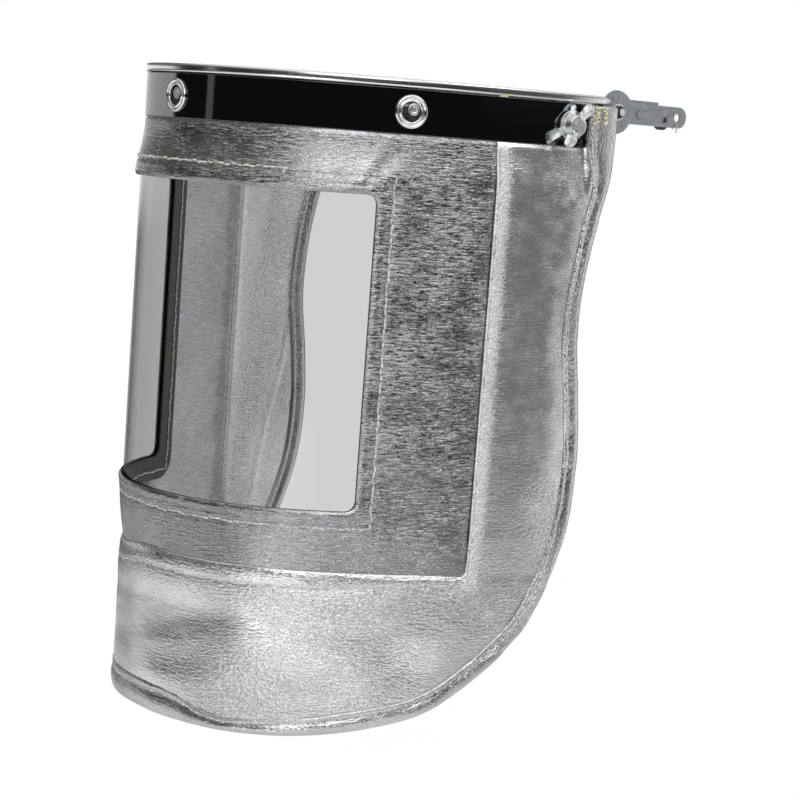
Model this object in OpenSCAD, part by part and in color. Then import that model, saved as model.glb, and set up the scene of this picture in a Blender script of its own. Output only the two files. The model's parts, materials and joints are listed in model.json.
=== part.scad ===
// Aluminised lift-front face shield that hangs from a hard hat.
// Millimetres. The origin is the middle of the hinge axis; the window faces -Y,
// +Z is up and +X is the wearer's left.

/* [Shell outline in plan] */
// Half width over the retaining strip
half_w = 116; // [114:1:120]
// Distance from the widest point to the front of the retaining strip
depth = 197.5; // [190:0.5:204]
// Squareness of the plan curve, 2 is an ellipse
square_n = 2.2; // [2.1:0.1:2.4]
// How far the widest point lies in front of the hinge axis
widest_y = 4; // [4:1:5]

/* [Retaining strip and frame] */
// Bottom edge of the retaining strip and frame
band_bottom = -20; // [-22:0.5:-19]
// Top edge of the retaining strip
strip_top = 2.5; // [2.2:0.1:2.7]
// Underside of the rolled lip
lip_bottom = 3.1; // [3:0.1:3.4]
// Top of the rolled lip
lip_top = 7.4; // [6.5:0.1:7.6]
// Rear end of the retaining strip
strip_end_y = -21.5; // [-23:0.5:-21.5]
// Outside diameter of an eyelet
eyelet_d = 17; // [16:0.5:17.5]
// Hole of an eyelet
eyelet_hole_d = 10; // [9:0.5:10]
// Position of the side eyelets round the plan curve, from the front
eyelet_angle = 53.9; // [50:0.1:56]
// Position of the clamp screws round the plan curve, from the front
clamp_angle = 82.7; // [82:0.1:83]

/* [Window] */
// Rear edge of the window opening
window_y = -139.5; // [-142:0.5:-136]
// Top of the window opening
window_top = -51; // [-54:0.5:-48]
// Bottom of the window opening
window_bottom = -211; // [-214:0.5:-206]
// Corner radius of the window opening
window_r = 5; // [3:0.5:8]
// Width of pane held inside the pocket
pane_margin = 6.5; // [5:0.5:7]

/* [Shroud] */
// Rear edge of the window panel where the skirt is sewn over it
side_seam_y = -79; // [-80:0.5:-78]
// Bottom seam height at the side seam
seam_z_side = -246; // [-248:0.5:-244]
// Bottom seam height at the front
seam_z_front = -241; // [-243:0.5:-239]
// Width of the edge binding
binding_w = 9.5; // [8:0.5:10]

/* [Hat arms] */
// Height of a hat arm
arm_h = 11.3; // [11:0.1:12]
// Distance from the hinge axis to the mounting hole
arm_hole_y = 47.6; // [46:0.1:52]
// Diameter of the mounting hole
arm_hole_d = 4.2; // [4:0.1:4.4]
// Diameter of the hinge discs
disc_d = 22.4; // [21.6:0.2:22.6]
// Height of a clamp wing nut over its wings
wing_h = 8; // [7.5:0.5:9]
// Span across a wing nut's wings
wing_span = 26; // [25:0.5:27]

/* [Hidden] */

STEPS = 72;          // segments round the plan curve
FRONT = -depth - widest_y;
g = 0.01;            // small overlap that joins the solids of one piece

// plan curve: point and outward normal at an angle from the front, positive towards +X
function pw(v, e) = v <= 0 ? 0 : pow(v, e);
function cx(t) = sign(t) * half_w * pw(abs(sin(t)), 2 / square_n);
function cy(t) = -depth * pw(cos(t), 2 / square_n);
function gx(t) = sign(t) * pw(abs(cx(t)) / half_w, square_n - 1) / half_w;
function gy(t) = -pw(abs(cy(t)) / depth, square_n - 1) / depth;
function plan(t, o) = let (a = gx(t), b = gy(t), m = sqrt(a * a + b * b))
  [cx(t) + o * a / m, cy(t) - widest_y + o * b / m];
function heading(t) = atan2(gy(t), gx(t));
function angle_at(i) = -90 + 180 * i / STEPS;
REAR = 12;           // how far the straight sides run behind the hinge axis

module plan_ring(o1, o2)
  polygon(concat(
    [[-half_w - o2, REAR]], [for (i = [0:STEPS]) plan(angle_at(i), o2)], [[half_w + o2, REAR]],
    [[half_w + o1, REAR]], [for (i = [STEPS:-1:0]) plan(angle_at(i), o1)], [[-half_w - o1, REAR]]));

// upright shell between two offsets of the plan curve
module shell(o1, o2, z1, z2) translate([0, 0, z1]) linear_extrude(z2 - z1) plan_ring(o1, o2);

// prism across the whole width from an outline seen from the side, points as [y, z]
module side_view(points) rotate([90, 0, 90]) translate([0, 0, -150]) linear_extrude(300) polygon(points);
module side_box(y1, y2, z1, z2) translate([-150, y1, z1]) cube([300, y2 - y1, z2 - z1]);

// places children with local X along the outward normal
module on_shell(t, o, z) let (p = plan(t, o)) translate([p[0], p[1], z]) rotate([0, 0, heading(t)]) children();
module peg(r, x1, x2, fn = 48) translate([x1, 0, 0]) rotate([0, 90, 0]) cylinder(r = r, h = x2 - x1, $fn = fn);
module ring(ro, ri, x1, x2) difference() { peg(ro, x1, x2); peg(ri, x1 - 1, x2 + 1); }

// rear edge and hem of the shroud, from the top of the rear tab down and round to the front
RIM = [[-4, 14], [-3.5, -10], [-5, -36], [-12, -62], [-17.5, -90], [-19, -122], [-14.5, -155],
  [-12, -190], [-17, -229], [-34, -267], [-56, -291], [-92, -315], [-130, -325], [-175, -329], [-222, -327]];
function ends(p, i) = i < 0 ? 2 * p[0] - p[1] : i >= len(p) ? 2 * p[len(p) - 1] - p[len(p) - 2] : p[i];
function blend(p, i, s) = let (a = ends(p, i - 1), b = p[i], c = ends(p, i + 1), d = ends(p, i + 2))
  0.5 * (2 * b + (c - a) * s + (2 * a - 5 * b + 4 * c - d) * s * s + (3 * b - a - 3 * c + d) * s * s * s);
CURVE = concat([for (i = [0:len(RIM) - 2]) for (k = [0:2]) blend(RIM, i, k / 3)], [RIM[len(RIM) - 1]]);
function inward(p, i, w) = let (a = i == 0 ? p[0] : p[i - 1], b = i == len(p) - 1 ? p[i] : p[i + 1], d = b - a)
  p[i] + w * [d[1], -d[0]] / norm(d);
function inset(w) = [for (i = [0:len(CURVE) - 1]) if (CURVE[i][1] < -36) inward(CURVE, i, w)];
function backwards(p) = [for (i = [len(p) - 1:-1:0]) p[i]];
TAB_Y = -20.5;       // front edge of the rear tab beside the strip's end
TAB_BOTTOM = -27;

// window outline with rounded rear corners, grown by m
function window(m) = let (r = window_r + m / 2, y = window_y + m, a = window_top + m, b = window_bottom - m)
  concat([[FRONT - 40, a]], [for (q = [90:-15:0]) [y - r + r * cos(q), a - r + r * sin(q)]],
    [for (q = [0:-15:-90]) [y - r + r * cos(q), b + r + r * sin(q)]], [[FRONT - 40, b]]);

HEM_OUT = -0.9;      // fabric between the frame and the strip
HEM_IN = -2.2;
HEM_TOP = 2;
STEP_Z = band_bottom - 1.8;
JOIN_Y = side_seam_y + 6;
STUD_SHIFT = 1.2;    // the studs sit a little off the eyelets' centres
wing_turn = 58;      // the wings stand at this angle to the band
CLAMP_Z = (band_bottom + strip_top) / 2 - 0.35;
EYELET_Z = (band_bottom + strip_top) / 2;
EYELETS = [0, eyelet_angle, -eyelet_angle];
CLAMPS = [clamp_angle, -clamp_angle];

module eyelet_holes(r, o1, o2) for (t = EYELETS) on_shell(t, 0, EYELET_Z) peg(r, o1, o2);
module clamp_holes(r, o1, o2) for (t = CLAMPS) on_shell(t, 0, CLAMP_Z) peg(r, o1, o2);
module stud_place(t) on_shell(t, 0, EYELET_Z) translate([0, STUD_SHIFT, STUD_SHIFT]) children();

// hinge stack, distances from the mirror plane
EAR_IN = half_w - 3.5;
EAR_OUT = half_w - 2.3;
ARM_IN = EAR_OUT + 0.1;
ARM_OUT = ARM_IN + 1;
DISC_IN = ARM_OUT + 0.05;
DISC_OUT = DISC_IN + 0.7;
PIVOT_R = 2;
EAR_R = 9;
module side(s) if (s > 0) children(); else mirror([1, 0, 0]) children();

module visor_frame() color([0.80, 0.81, 0.82]) difference() {
  union() {
    intersection() {
      shell(-3.5, -2.3, band_bottom, lip_bottom + g);
      side_view([[FRONT - 20, band_bottom - 1], [-15, band_bottom - 1], [-3, -EAR_R + 0.5], [-3, 5], [FRONT - 20, 5]]);
    }
    intersection() { shell(-3.5, 0.6, lip_bottom, lip_top); side_box(FRONT - 20, -disc_d / 2 - 0.6, 0, 20); }
    intersection() { shell(0.1, 0.6, lip_bottom, lip_top); side_view([[-disc_d / 2 - 1.6, 0], [-6.5, 0], [-7.5, 10], [-disc_d / 2 - 1.6, 10]]); }
    for (s = [1, -1]) side(s) peg(EAR_R, EAR_IN, EAR_OUT, 64);
  }
  for (s = [1, -1]) side(s) peg(PIVOT_R + 0.05, EAR_IN - 5, EAR_OUT + 5);
  clamp_holes(3.3, -8, -1);
  for (t = EYELETS) stud_place(t) peg(1.5, -8, -1);
}

module retaining_strip() color([0.03, 0.03, 0.035]) difference() {
  intersection() { shell(-0.8, 0, band_bottom, strip_top); side_box(FRONT - 20, strip_end_y, -40, 20); }
  eyelet_holes(eyelet_hole_d / 2 + 0.9, -4, 4);
  clamp_holes(3.3, -4, 4);
}

module eyelet(t) color([0.72, 0.73, 0.74]) on_shell(t, 0, EYELET_Z) {
  difference() {
    union() {
      peg(eyelet_d / 2 - 0.5, 0.05, 0.55, 64);
      difference() {
        translate([0.55, 0, 0]) rotate([0, 90, 0]) rotate_extrude($fn = 64) translate([eyelet_hole_d / 2 + 1.6, 0]) circle(r = 0.9, $fn = 32);
        peg(20, -3, 0.05);
      }
      ring(eyelet_d / 2, eyelet_d / 2 - 1, 0.05, 0.75);
      peg(eyelet_hole_d / 2 + 0.8, -2.1, 0.1, 64);
    }
    peg(eyelet_hole_d / 2, -5, 5, 64);
  }
}

module stud(t) color([0.66, 0.67, 0.69]) stud_place(t) {
  peg(1.45, -3.8, -2);
  difference() {
    peg(3, -2.25, 0.6);
    peg(1.6, -0.2, 2);
  }
  peg(2.6, -4.35, -3.75);
}

module window_pane() color([0.86, 0.88, 0.9, 0.35]) intersection() {
  shell(-0.2, 0.6, -300, -20);
  side_view(window(pane_margin));
}

module window_panel() color([0.62, 0.63, 0.65]) difference() {
  union() {
    intersection() {
      shell(0.8, 2, -300, STEP_Z + g);
      side_view([[FRONT - 30, STEP_Z + 1], [JOIN_Y - 0.2, STEP_Z + 1], [JOIN_Y - 0.2, seam_z_side - 6],
        [-120, (seam_z_side * 2 + seam_z_front) / 3 - 6], [-180, (seam_z_side + 4 * seam_z_front) / 5 - 6], [FRONT - 30, seam_z_front - 6]]);
    }
    intersection() { shell(HEM_IN, 2, STEP_Z, band_bottom - 0.3); side_box(FRONT - 30, JOIN_Y - 0.2, -60, 20); }
    intersection() { shell(HEM_IN, HEM_OUT, STEP_Z, HEM_TOP); side_box(FRONT - 30, JOIN_Y - 0.2, -60, 20); }
  }
  side_view(window(0));
  eyelet_holes(eyelet_hole_d / 2 + 0.9, -3, 1);
}

module window_facing() color([0.56, 0.57, 0.59]) difference() {
  intersection() { shell(-1.6, -0.4, -300, -24); side_view(window(14)); }
  side_view(window(0));
}

module skirt() color([0.66, 0.67, 0.69]) difference() {
  union() {
    intersection() {
      shell(2.1, 3.3, -400, STEP_Z + g);
      side_view(concat([[TAB_Y - 0.2, STEP_Z + 1], [TAB_Y - 0.2, TAB_BOTTOM - 8]], inset(binding_w + 0.2), [[FRONT - 30, -317], [FRONT - 30, seam_z_front],
        [-180, (seam_z_side + 4 * seam_z_front) / 5], [-120, (seam_z_side * 2 + seam_z_front) / 3],
        [side_seam_y, seam_z_side], [side_seam_y, STEP_Z + 1]]));
    }
    intersection() { shell(HEM_IN, 3.3, STEP_Z, band_bottom - 0.3); side_box(JOIN_Y + 0.2, TAB_Y - 0.2, -60, 20); }
    intersection() { shell(HEM_IN, HEM_OUT, STEP_Z, HEM_TOP); side_box(JOIN_Y + 0.2, TAB_Y - 0.2, -60, 20); }
  }
  clamp_holes(3.4, -8, 8);
}

module edge_binding() color([0.70, 0.71, 0.73]) intersection() {
  shell(1.2, 3.6, -400, strip_top - 0.1);
  side_view(concat(CURVE, backwards(inset(binding_w)), [[TAB_Y, TAB_BOTTOM - 8], [TAB_Y, 14]]));
}

module clamp_screw(t) color([0.70, 0.71, 0.73]) on_shell(t, 0, CLAMP_Z) {
  peg(3.05, -3.7, 8.2);
  difference() {
    peg(5.6, -6.1, -3.6);
    translate([-6.6, -7, -0.6]) cube([1.6, 14, 1.2]);
  }
}

// plate under the washers, with one long finger that points forward and down and a short one that points up
module clamp_keeper(t) color([0.68, 0.69, 0.71]) on_shell(t, 0, CLAMP_Z) difference() {
  translate([0.1, 0, 0]) rotate([90, 0, 90]) linear_extrude(1.1) mirror([t > 0 ? 0 : 1, 0]) union() {
    circle(r = 6.6, $fn = 64);
    rotate(207) translate([0, -2.2]) square([13.8, 4.4]);
    rotate(207) translate([13.8, 0]) circle(r = 2.2, $fn = 32);
    rotate(86) translate([0, -1.8]) square([9.2, 3.6]);
    rotate(86) translate([9.2, 0]) circle(r = 1.8, $fn = 32);
  }
  peg(3.2, -2, 4);
}

module flat_washer(t) color([0.74, 0.75, 0.76]) on_shell(t, 0, CLAMP_Z) ring(7.95, 3.2, 1.24, 2.14);

module lock_washer(t) color([0.6, 0.61, 0.63]) on_shell(t, 0, CLAMP_Z) difference() {
  ring(5.9, 3.2, 2.18, 3.38);
  rotate([-60, 0, 0]) translate([0, 0, -0.5]) cube([5, 8, 1]);
}

module wing_nut(t) color([0.74, 0.75, 0.76]) on_shell(t, 0, CLAMP_Z) difference() {
  union() {
    translate([3.44, 0, 0]) rotate([0, 90, 0]) cylinder(r1 = 6.4, r2 = 5.2, h = 3.8, $fn = 64);
    for (a = [0, 180]) rotate([wing_turn + a, 0, 0]) translate([3.0, 0, 0]) wing_blade();
  }
  peg(3.1, 0, 20);
}
// one wing: a rounded ear that leans outward, in the plane of X, the screw's axis, and Y
module wing_blade() translate([0, 0, -1.3]) linear_extrude(2.6) difference() {
  union() {
    polygon([[0.7, 3.6], [0.8, 6.5], [wing_h - 7, wing_span / 2 - 3.4], [wing_h - 0.2, wing_span / 2 - 3.4], [6, 6.4], [4.4, 3.6]]);
    translate([wing_h - 3.6, wing_span / 2 - 3.4]) circle(r = 3.4, $fn = 48);
  }
  translate([-5, -20]) square([30, 23.6]);
}

module hat_arm(s) color([0.42, 0.44, 0.46]) side(s) difference() {
  translate([ARM_IN, 0, 0]) rotate([90, 0, 90]) linear_extrude(ARM_OUT - ARM_IN) union() {
    circle(d = disc_d + 0.6, $fn = 96);
    translate([0, -arm_h / 2]) square([arm_hole_y + 1.7, arm_h]);
    translate([arm_hole_y + 1.7, 0]) circle(d = arm_h, $fn = 64);
  }
  peg(PIVOT_R, ARM_IN - 2, ARM_OUT + 2);
  translate([0, arm_hole_y, 0]) peg(arm_hole_d / 2, ARM_IN - 2, ARM_OUT + 2);
  translate([0, 18, 0]) peg(1.6, ARM_IN - 2, ARM_OUT + 2);
  translate([0, 38, -2]) peg(1.2, ARM_IN - 2, ARM_OUT + 2);
  translate([ARM_IN - 1, arm_hole_y - 1.3, -arm_h]) cube([4, 1.1, arm_h - 1.6]);
}

module arm_backing(s) color([0.46, 0.48, 0.50]) side(s) difference() {
  translate([EAR_IN, 10.5, -arm_h / 2 + 1]) cube([ARM_IN - EAR_IN, 22.5, arm_h + 0.6]);
  translate([0, 18, 0]) peg(1.6, EAR_IN - 2, ARM_OUT + 2);
}

module hinge_disc(s) color([0.40, 0.42, 0.44]) side(s) difference() {
  union() {
    peg(disc_d / 2, DISC_IN, DISC_OUT, 96);
    for (a = [0:30:330]) rotate([a, 0, 0]) translate([DISC_OUT - g, 7, -0.35]) cube([0.3 + g, 2.6, 0.7]);
  }
  peg(PIVOT_R, DISC_IN - 2, DISC_OUT + 2);
}

module pivot_screw(s) color([0.60, 0.61, 0.63]) side(s) {
  peg(PIVOT_R, EAR_IN - 1.4, half_w + 3);
  peg(4, EAR_IN - 3, EAR_IN - 1.4);
}

module spring_washer(s) color([0.52, 0.53, 0.55]) side(s) ring(5, PIVOT_R + 0.1, EAR_IN - 1.4, EAR_IN - 0.02);

module pivot_washer(s) color([0.78, 0.79, 0.80]) side(s) difference() {
  ring(4.4, PIVOT_R, DISC_OUT + 0.02, DISC_OUT + 0.9);
  peg(3.7, DISC_OUT + 0.55, DISC_OUT + 2);
}

module pivot_nut(s) color([0.10, 0.10, 0.11]) side(s) difference() {
  union() {
    translate([DISC_OUT + 0.57, 0, 0]) rotate([0, 90, 0]) rotate([0, 0, 15]) cylinder(r = 3.4, h = 1.9, $fn = 6);
    peg(2.7, DISC_OUT + 0.57, DISC_OUT + 2.9);
  }
  peg(PIVOT_R, DISC_OUT - 2, DISC_OUT + 5);
}

module arm_rivet(s) color([0.44, 0.46, 0.48]) side(s) translate([0, 18, 0]) {
  peg(1.6, EAR_IN - 0.9, ARM_OUT + 0.6);
  peg(2.4, ARM_OUT + 0.02, ARM_OUT + 0.7);
  peg(2.6, EAR_IN - 0.9, EAR_IN - 0.02);
}

module hat_pad(s) color([0.07, 0.07, 0.07]) side(s) translate([0, 38, 0]) {
  translate([0, 0, -3.2]) peg(4, ARM_IN - 3.6, ARM_IN - 0.02);
  translate([0, 0, -2]) peg(1.2, ARM_IN - 0.5, ARM_OUT + 0.5);
}

module retaining_clip(s) color([0.75, 0.76, 0.77]) side(s) translate([0, arm_hole_y - 0.75, -3.4]) {
  peg(0.45, ARM_IN - 0.9, ARM_OUT + 0.9, 24);
  for (x = [ARM_IN - 0.9, ARM_OUT + 0.9]) translate([x, 0, 0]) sphere(r = 0.45, $fn = 24);
  translate([ARM_OUT + 0.9, 0, -4.6]) cylinder(r = 0.45, h = 4.6, $fn = 24);
  translate([ARM_IN - 0.9, 0, -3]) cylinder(r = 0.45, h = 3, $fn = 24);
}

visor_frame();
retaining_strip();
eyelet(0);  // front_eyelet
eyelet(eyelet_angle);  // left_eyelet
eyelet(-eyelet_angle);  // right_eyelet
stud(0);  // front_stud
stud(eyelet_angle);  // left_stud
stud(-eyelet_angle);  // right_stud
window_pane();
window_panel();
window_facing();
skirt();
edge_binding();
clamp_screw(clamp_angle);  // left_clamp_screw
clamp_screw(-clamp_angle);  // right_clamp_screw
clamp_keeper(clamp_angle);  // left_clamp_keeper
clamp_keeper(-clamp_angle);  // right_clamp_keeper
flat_washer(clamp_angle);  // left_flat_washer
flat_washer(-clamp_angle);  // right_flat_washer
lock_washer(clamp_angle);  // left_lock_washer
lock_washer(-clamp_angle);  // right_lock_washer
wing_nut(clamp_angle);  // left_wing_nut
wing_nut(-clamp_angle);  // right_wing_nut
hat_arm(1);  // left_hat_arm
hat_arm(-1);  // right_hat_arm
arm_backing(1);  // left_arm_backing
arm_backing(-1);  // right_arm_backing
hinge_disc(1);  // left_hinge_disc
hinge_disc(-1);  // right_hinge_disc
pivot_screw(1);  // left_pivot_screw
pivot_screw(-1);  // right_pivot_screw
spring_washer(1);  // left_spring_washer
spring_washer(-1);  // right_spring_washer
pivot_washer(1);  // left_pivot_washer
pivot_washer(-1);  // right_pivot_washer
pivot_nut(1);  // left_pivot_nut
pivot_nut(-1);  // right_pivot_nut
arm_rivet(1);  // left_arm_rivet
arm_rivet(-1);  // right_arm_rivet
hat_pad(1);  // left_hat_pad
hat_pad(-1);  // right_hat_pad
retaining_clip(1);  // left_retaining_clip
retaining_clip(-1);  // right_retaining_clip
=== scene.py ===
"""Looks of the aluminised face shield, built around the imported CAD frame. Lengths are in millimetres until a mesh is made."""
import json
import math

import bpy
import numpy as np
from mathutils import Matrix, Vector
from mathutils.geometry import delaunay_2d_cdt


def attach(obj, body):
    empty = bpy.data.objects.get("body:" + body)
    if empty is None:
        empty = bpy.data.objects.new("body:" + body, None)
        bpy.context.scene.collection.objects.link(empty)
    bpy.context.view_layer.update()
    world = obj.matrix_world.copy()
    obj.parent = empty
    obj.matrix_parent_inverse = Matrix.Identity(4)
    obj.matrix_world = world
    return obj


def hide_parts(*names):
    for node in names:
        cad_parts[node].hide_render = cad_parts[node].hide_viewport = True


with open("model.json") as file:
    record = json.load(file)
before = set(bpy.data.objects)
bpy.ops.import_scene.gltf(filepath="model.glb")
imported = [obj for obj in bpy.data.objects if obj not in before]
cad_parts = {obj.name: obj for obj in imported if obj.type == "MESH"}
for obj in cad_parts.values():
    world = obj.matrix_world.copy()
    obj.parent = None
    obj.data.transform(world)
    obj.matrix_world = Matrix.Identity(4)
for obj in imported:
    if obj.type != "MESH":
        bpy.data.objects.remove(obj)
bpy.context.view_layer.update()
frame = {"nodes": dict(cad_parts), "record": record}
MM = 0.001

# ------------------------------------------------------------------ camera
cam_data = bpy.data.cameras.new("camera")
cam_data.lens = 93.2
cam_data.sensor_width = 36
cam_data.clip_start = 0.05
cam_data.clip_end = 40
camera = bpy.data.objects.new("camera", cam_data)
bpy.context.scene.collection.objects.link(camera)
R, U, B = (0.6467867, 0.7591107, 0.0736068), (-0.1419175, 0.0249658, 0.9895636), (0.7493507, -0.6504827, 0.1238786)
C = (0.88254, -0.80265, -0.02336)
camera.matrix_world = Matrix([[R[i], U[i], B[i], C[i]] for i in range(3)] + [[0, 0, 0, 1]])
bpy.context.scene.camera = camera
bpy.context.scene.view_settings.view_transform = "Standard"


# ------------------------------------------------------------------ node helpers
def put(tree, kind, props=None, **ins):
    node = tree.nodes.new(kind)
    for k, v in (props or {}).items():
        setattr(node, k, v)
    for k, v in ins.items():
        key = int(k[1:]) if k[0] == "i" and k[1:].isdigit() else k.replace("_", " ")
        socket = node.inputs[key]
        if isinstance(v, bpy.types.NodeSocket):
            tree.links.new(v, socket)
        else:
            socket.default_value = v
    return node


def maths(tree, op, a, b=0.0, c=None, clamp=False):
    ins = {"i0": a, "i1": b}
    if c is not None:
        ins["i2"] = c
    return put(tree, "ShaderNodeMath", {"operation": op, "use_clamp": clamp}, **ins).outputs[0]


def ramp(tree, value, lo, hi, a=0.0, b=1.0, smooth=True):
    n = put(tree, "ShaderNodeMapRange", {"interpolation_type": "SMOOTHSTEP" if smooth else "LINEAR"}, Value=value)
    n.inputs["From Min"].default_value = lo
    n.inputs["From Max"].default_value = hi
    n.inputs["To Min"].default_value = a
    n.inputs["To Max"].default_value = b
    return n.outputs[0]


# ------------------------------------------------------------------ world: a soft-box studio, plain white behind the object
world = bpy.data.worlds.new("studio")
bpy.context.scene.world = world
world.use_nodes = True
wt = world.node_tree
wt.nodes.clear()
way = put(wt, "ShaderNodeTexCoord").outputs["Generated"]
xyz = put(wt, "ShaderNodeSeparateXYZ", Vector=way)
azim = maths(wt, "MULTIPLY", maths(wt, "ARCTAN2", xyz.outputs[0], maths(wt, "MULTIPLY", xyz.outputs[1], -1.0)), 57.29578)
elev = maths(wt, "MULTIPLY", maths(wt, "ARCSINE", xyz.outputs[2]), 57.29578)


def window_of(value, lo, hi, soft):
    up = ramp(wt, value, lo - soft / 2, lo + soft / 2)
    down = ramp(wt, value, hi - soft / 2, hi + soft / 2, 1.0, 0.0)
    return maths(wt, "MULTIPLY", up, down)


def soft_box(az, el, soft_az, soft_el):
    return maths(wt, "MULTIPLY", window_of(azim, az[0], az[1], soft_az), window_of(elev, el[0], el[1], soft_el))


level = 0.014
# (azimuth from, to), (elevation from, to), softness of each, radiance that it sets
BOXES = [
    ((-158, -57), (-60, 60), 2.5, 20, 0.14),    # backdrop, seen in the far limb
    ((-158, -57), (-2.4, 3.6), 2.5, 2, 0.95),
    ((-60, 44), (10, 60), 4, 7, 0.18),           # dim upper part of the room in front
    ((-27, -21), (-6, 14), 1.5, 3, 0.30),       # gap between the flags
    ((42, 86), (11, 70), 14, 6, 2.5),            # the raised soft box on the wearer's left
    ((84, 112), (15, 70), 8, 6, 1.15),           # its dimmer end
    ((107, 134), (-60, -0.9), 6, 1.6, 0.11),    # grey wall at the rear left
    ((107, 134), (2.5, 60), 6, 4, 0.10),
    ((134, 200), (-60, 60), 4, 14, 0.60),       # rear wall
    ((-200, -158), (-60, 60), 8, 14, 0.20),
    ((-200, 200), (-90, -12.9), 0.1, 1.6, 0.56),  # the pale floor
    ((-70, 20), (-90, -12.8), 14, 1.6, 0.86),
    ((14, 103), (-90, -13.2), 14, 1.7, 1.36),
    ((24, 58), (-22, -8.0), 12, 1.3, 2.1),           # low strip of light in front
    ((0, 103), (-31, -25), 10, 1.5, 0.06),    # gap in it
    ((-200, 200), (-90, -36), 0.1, 10, 0.80),
    ((131.5, 139), (-16, 8), 1.5, 3, 1.15),
    ((-200, 200), (38, 90), 0.1, 12, 0.95),     # the ceiling bank
    ((98, 126), (24, 46), 6, 6, 2.8),           # small lamp high on the left
    ((150, 182), (-30, 24), 5, 8, 1.1),         # small lamp behind the wearer
]
light = put(wt, "ShaderNodeValue").outputs[0]
light.default_value = level
for az, el, sa, se, value in BOXES:
    inside = soft_box(az, el, sa, se)
    mix = put(wt, "ShaderNodeMix", {"data_type": "FLOAT"})
    wt.links.new(inside, mix.inputs["Factor"])
    wt.links.new(light, mix.inputs["A"])
    mix.inputs["B"].default_value = value
    light = mix.outputs["Result"]
lp = put(wt, "ShaderNodeLightPath")
seen = put(wt, "ShaderNodeMix", {"data_type": "FLOAT"})
wt.links.new(lp.outputs["Is Camera Ray"], seen.inputs["Factor"])
wt.links.new(light, seen.inputs["A"])
seen.inputs["B"].default_value = 1.0
tone = put(wt, "ShaderNodeCombineColor")
for i in range(3):
    wt.links.new(seen.outputs["Result"], tone.inputs[i])
back = put(wt, "ShaderNodeBackground", Color=tone.outputs[0], Strength=1.0)
wt.links.new(back.outputs[0], put(wt, "ShaderNodeOutputWorld").inputs["Surface"])


# ------------------------------------------------------------------ materials
def material(name):
    m = bpy.data.materials.new(name)
    m.use_nodes = True
    m.node_tree.nodes.clear()
    return m, m.node_tree


def finish_material(tree, shader):
    tree.links.new(shader, put(tree, "ShaderNodeOutputMaterial").inputs["Surface"])


def stretched(tree, base, scale, detail=3.0, rough=0.55, noise_scale=1.0):
    m = put(tree, "ShaderNodeMapping", Vector=base, Scale=scale)
    n = put(tree, "ShaderNodeTexNoise", {"noise_dimensions": "3D"}, Vector=m.outputs[0])
    n.inputs["Scale"].default_value = noise_scale
    n.inputs["Detail"].default_value = detail
    n.inputs["Roughness"].default_value = rough
    return n.outputs["Fac"]


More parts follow.
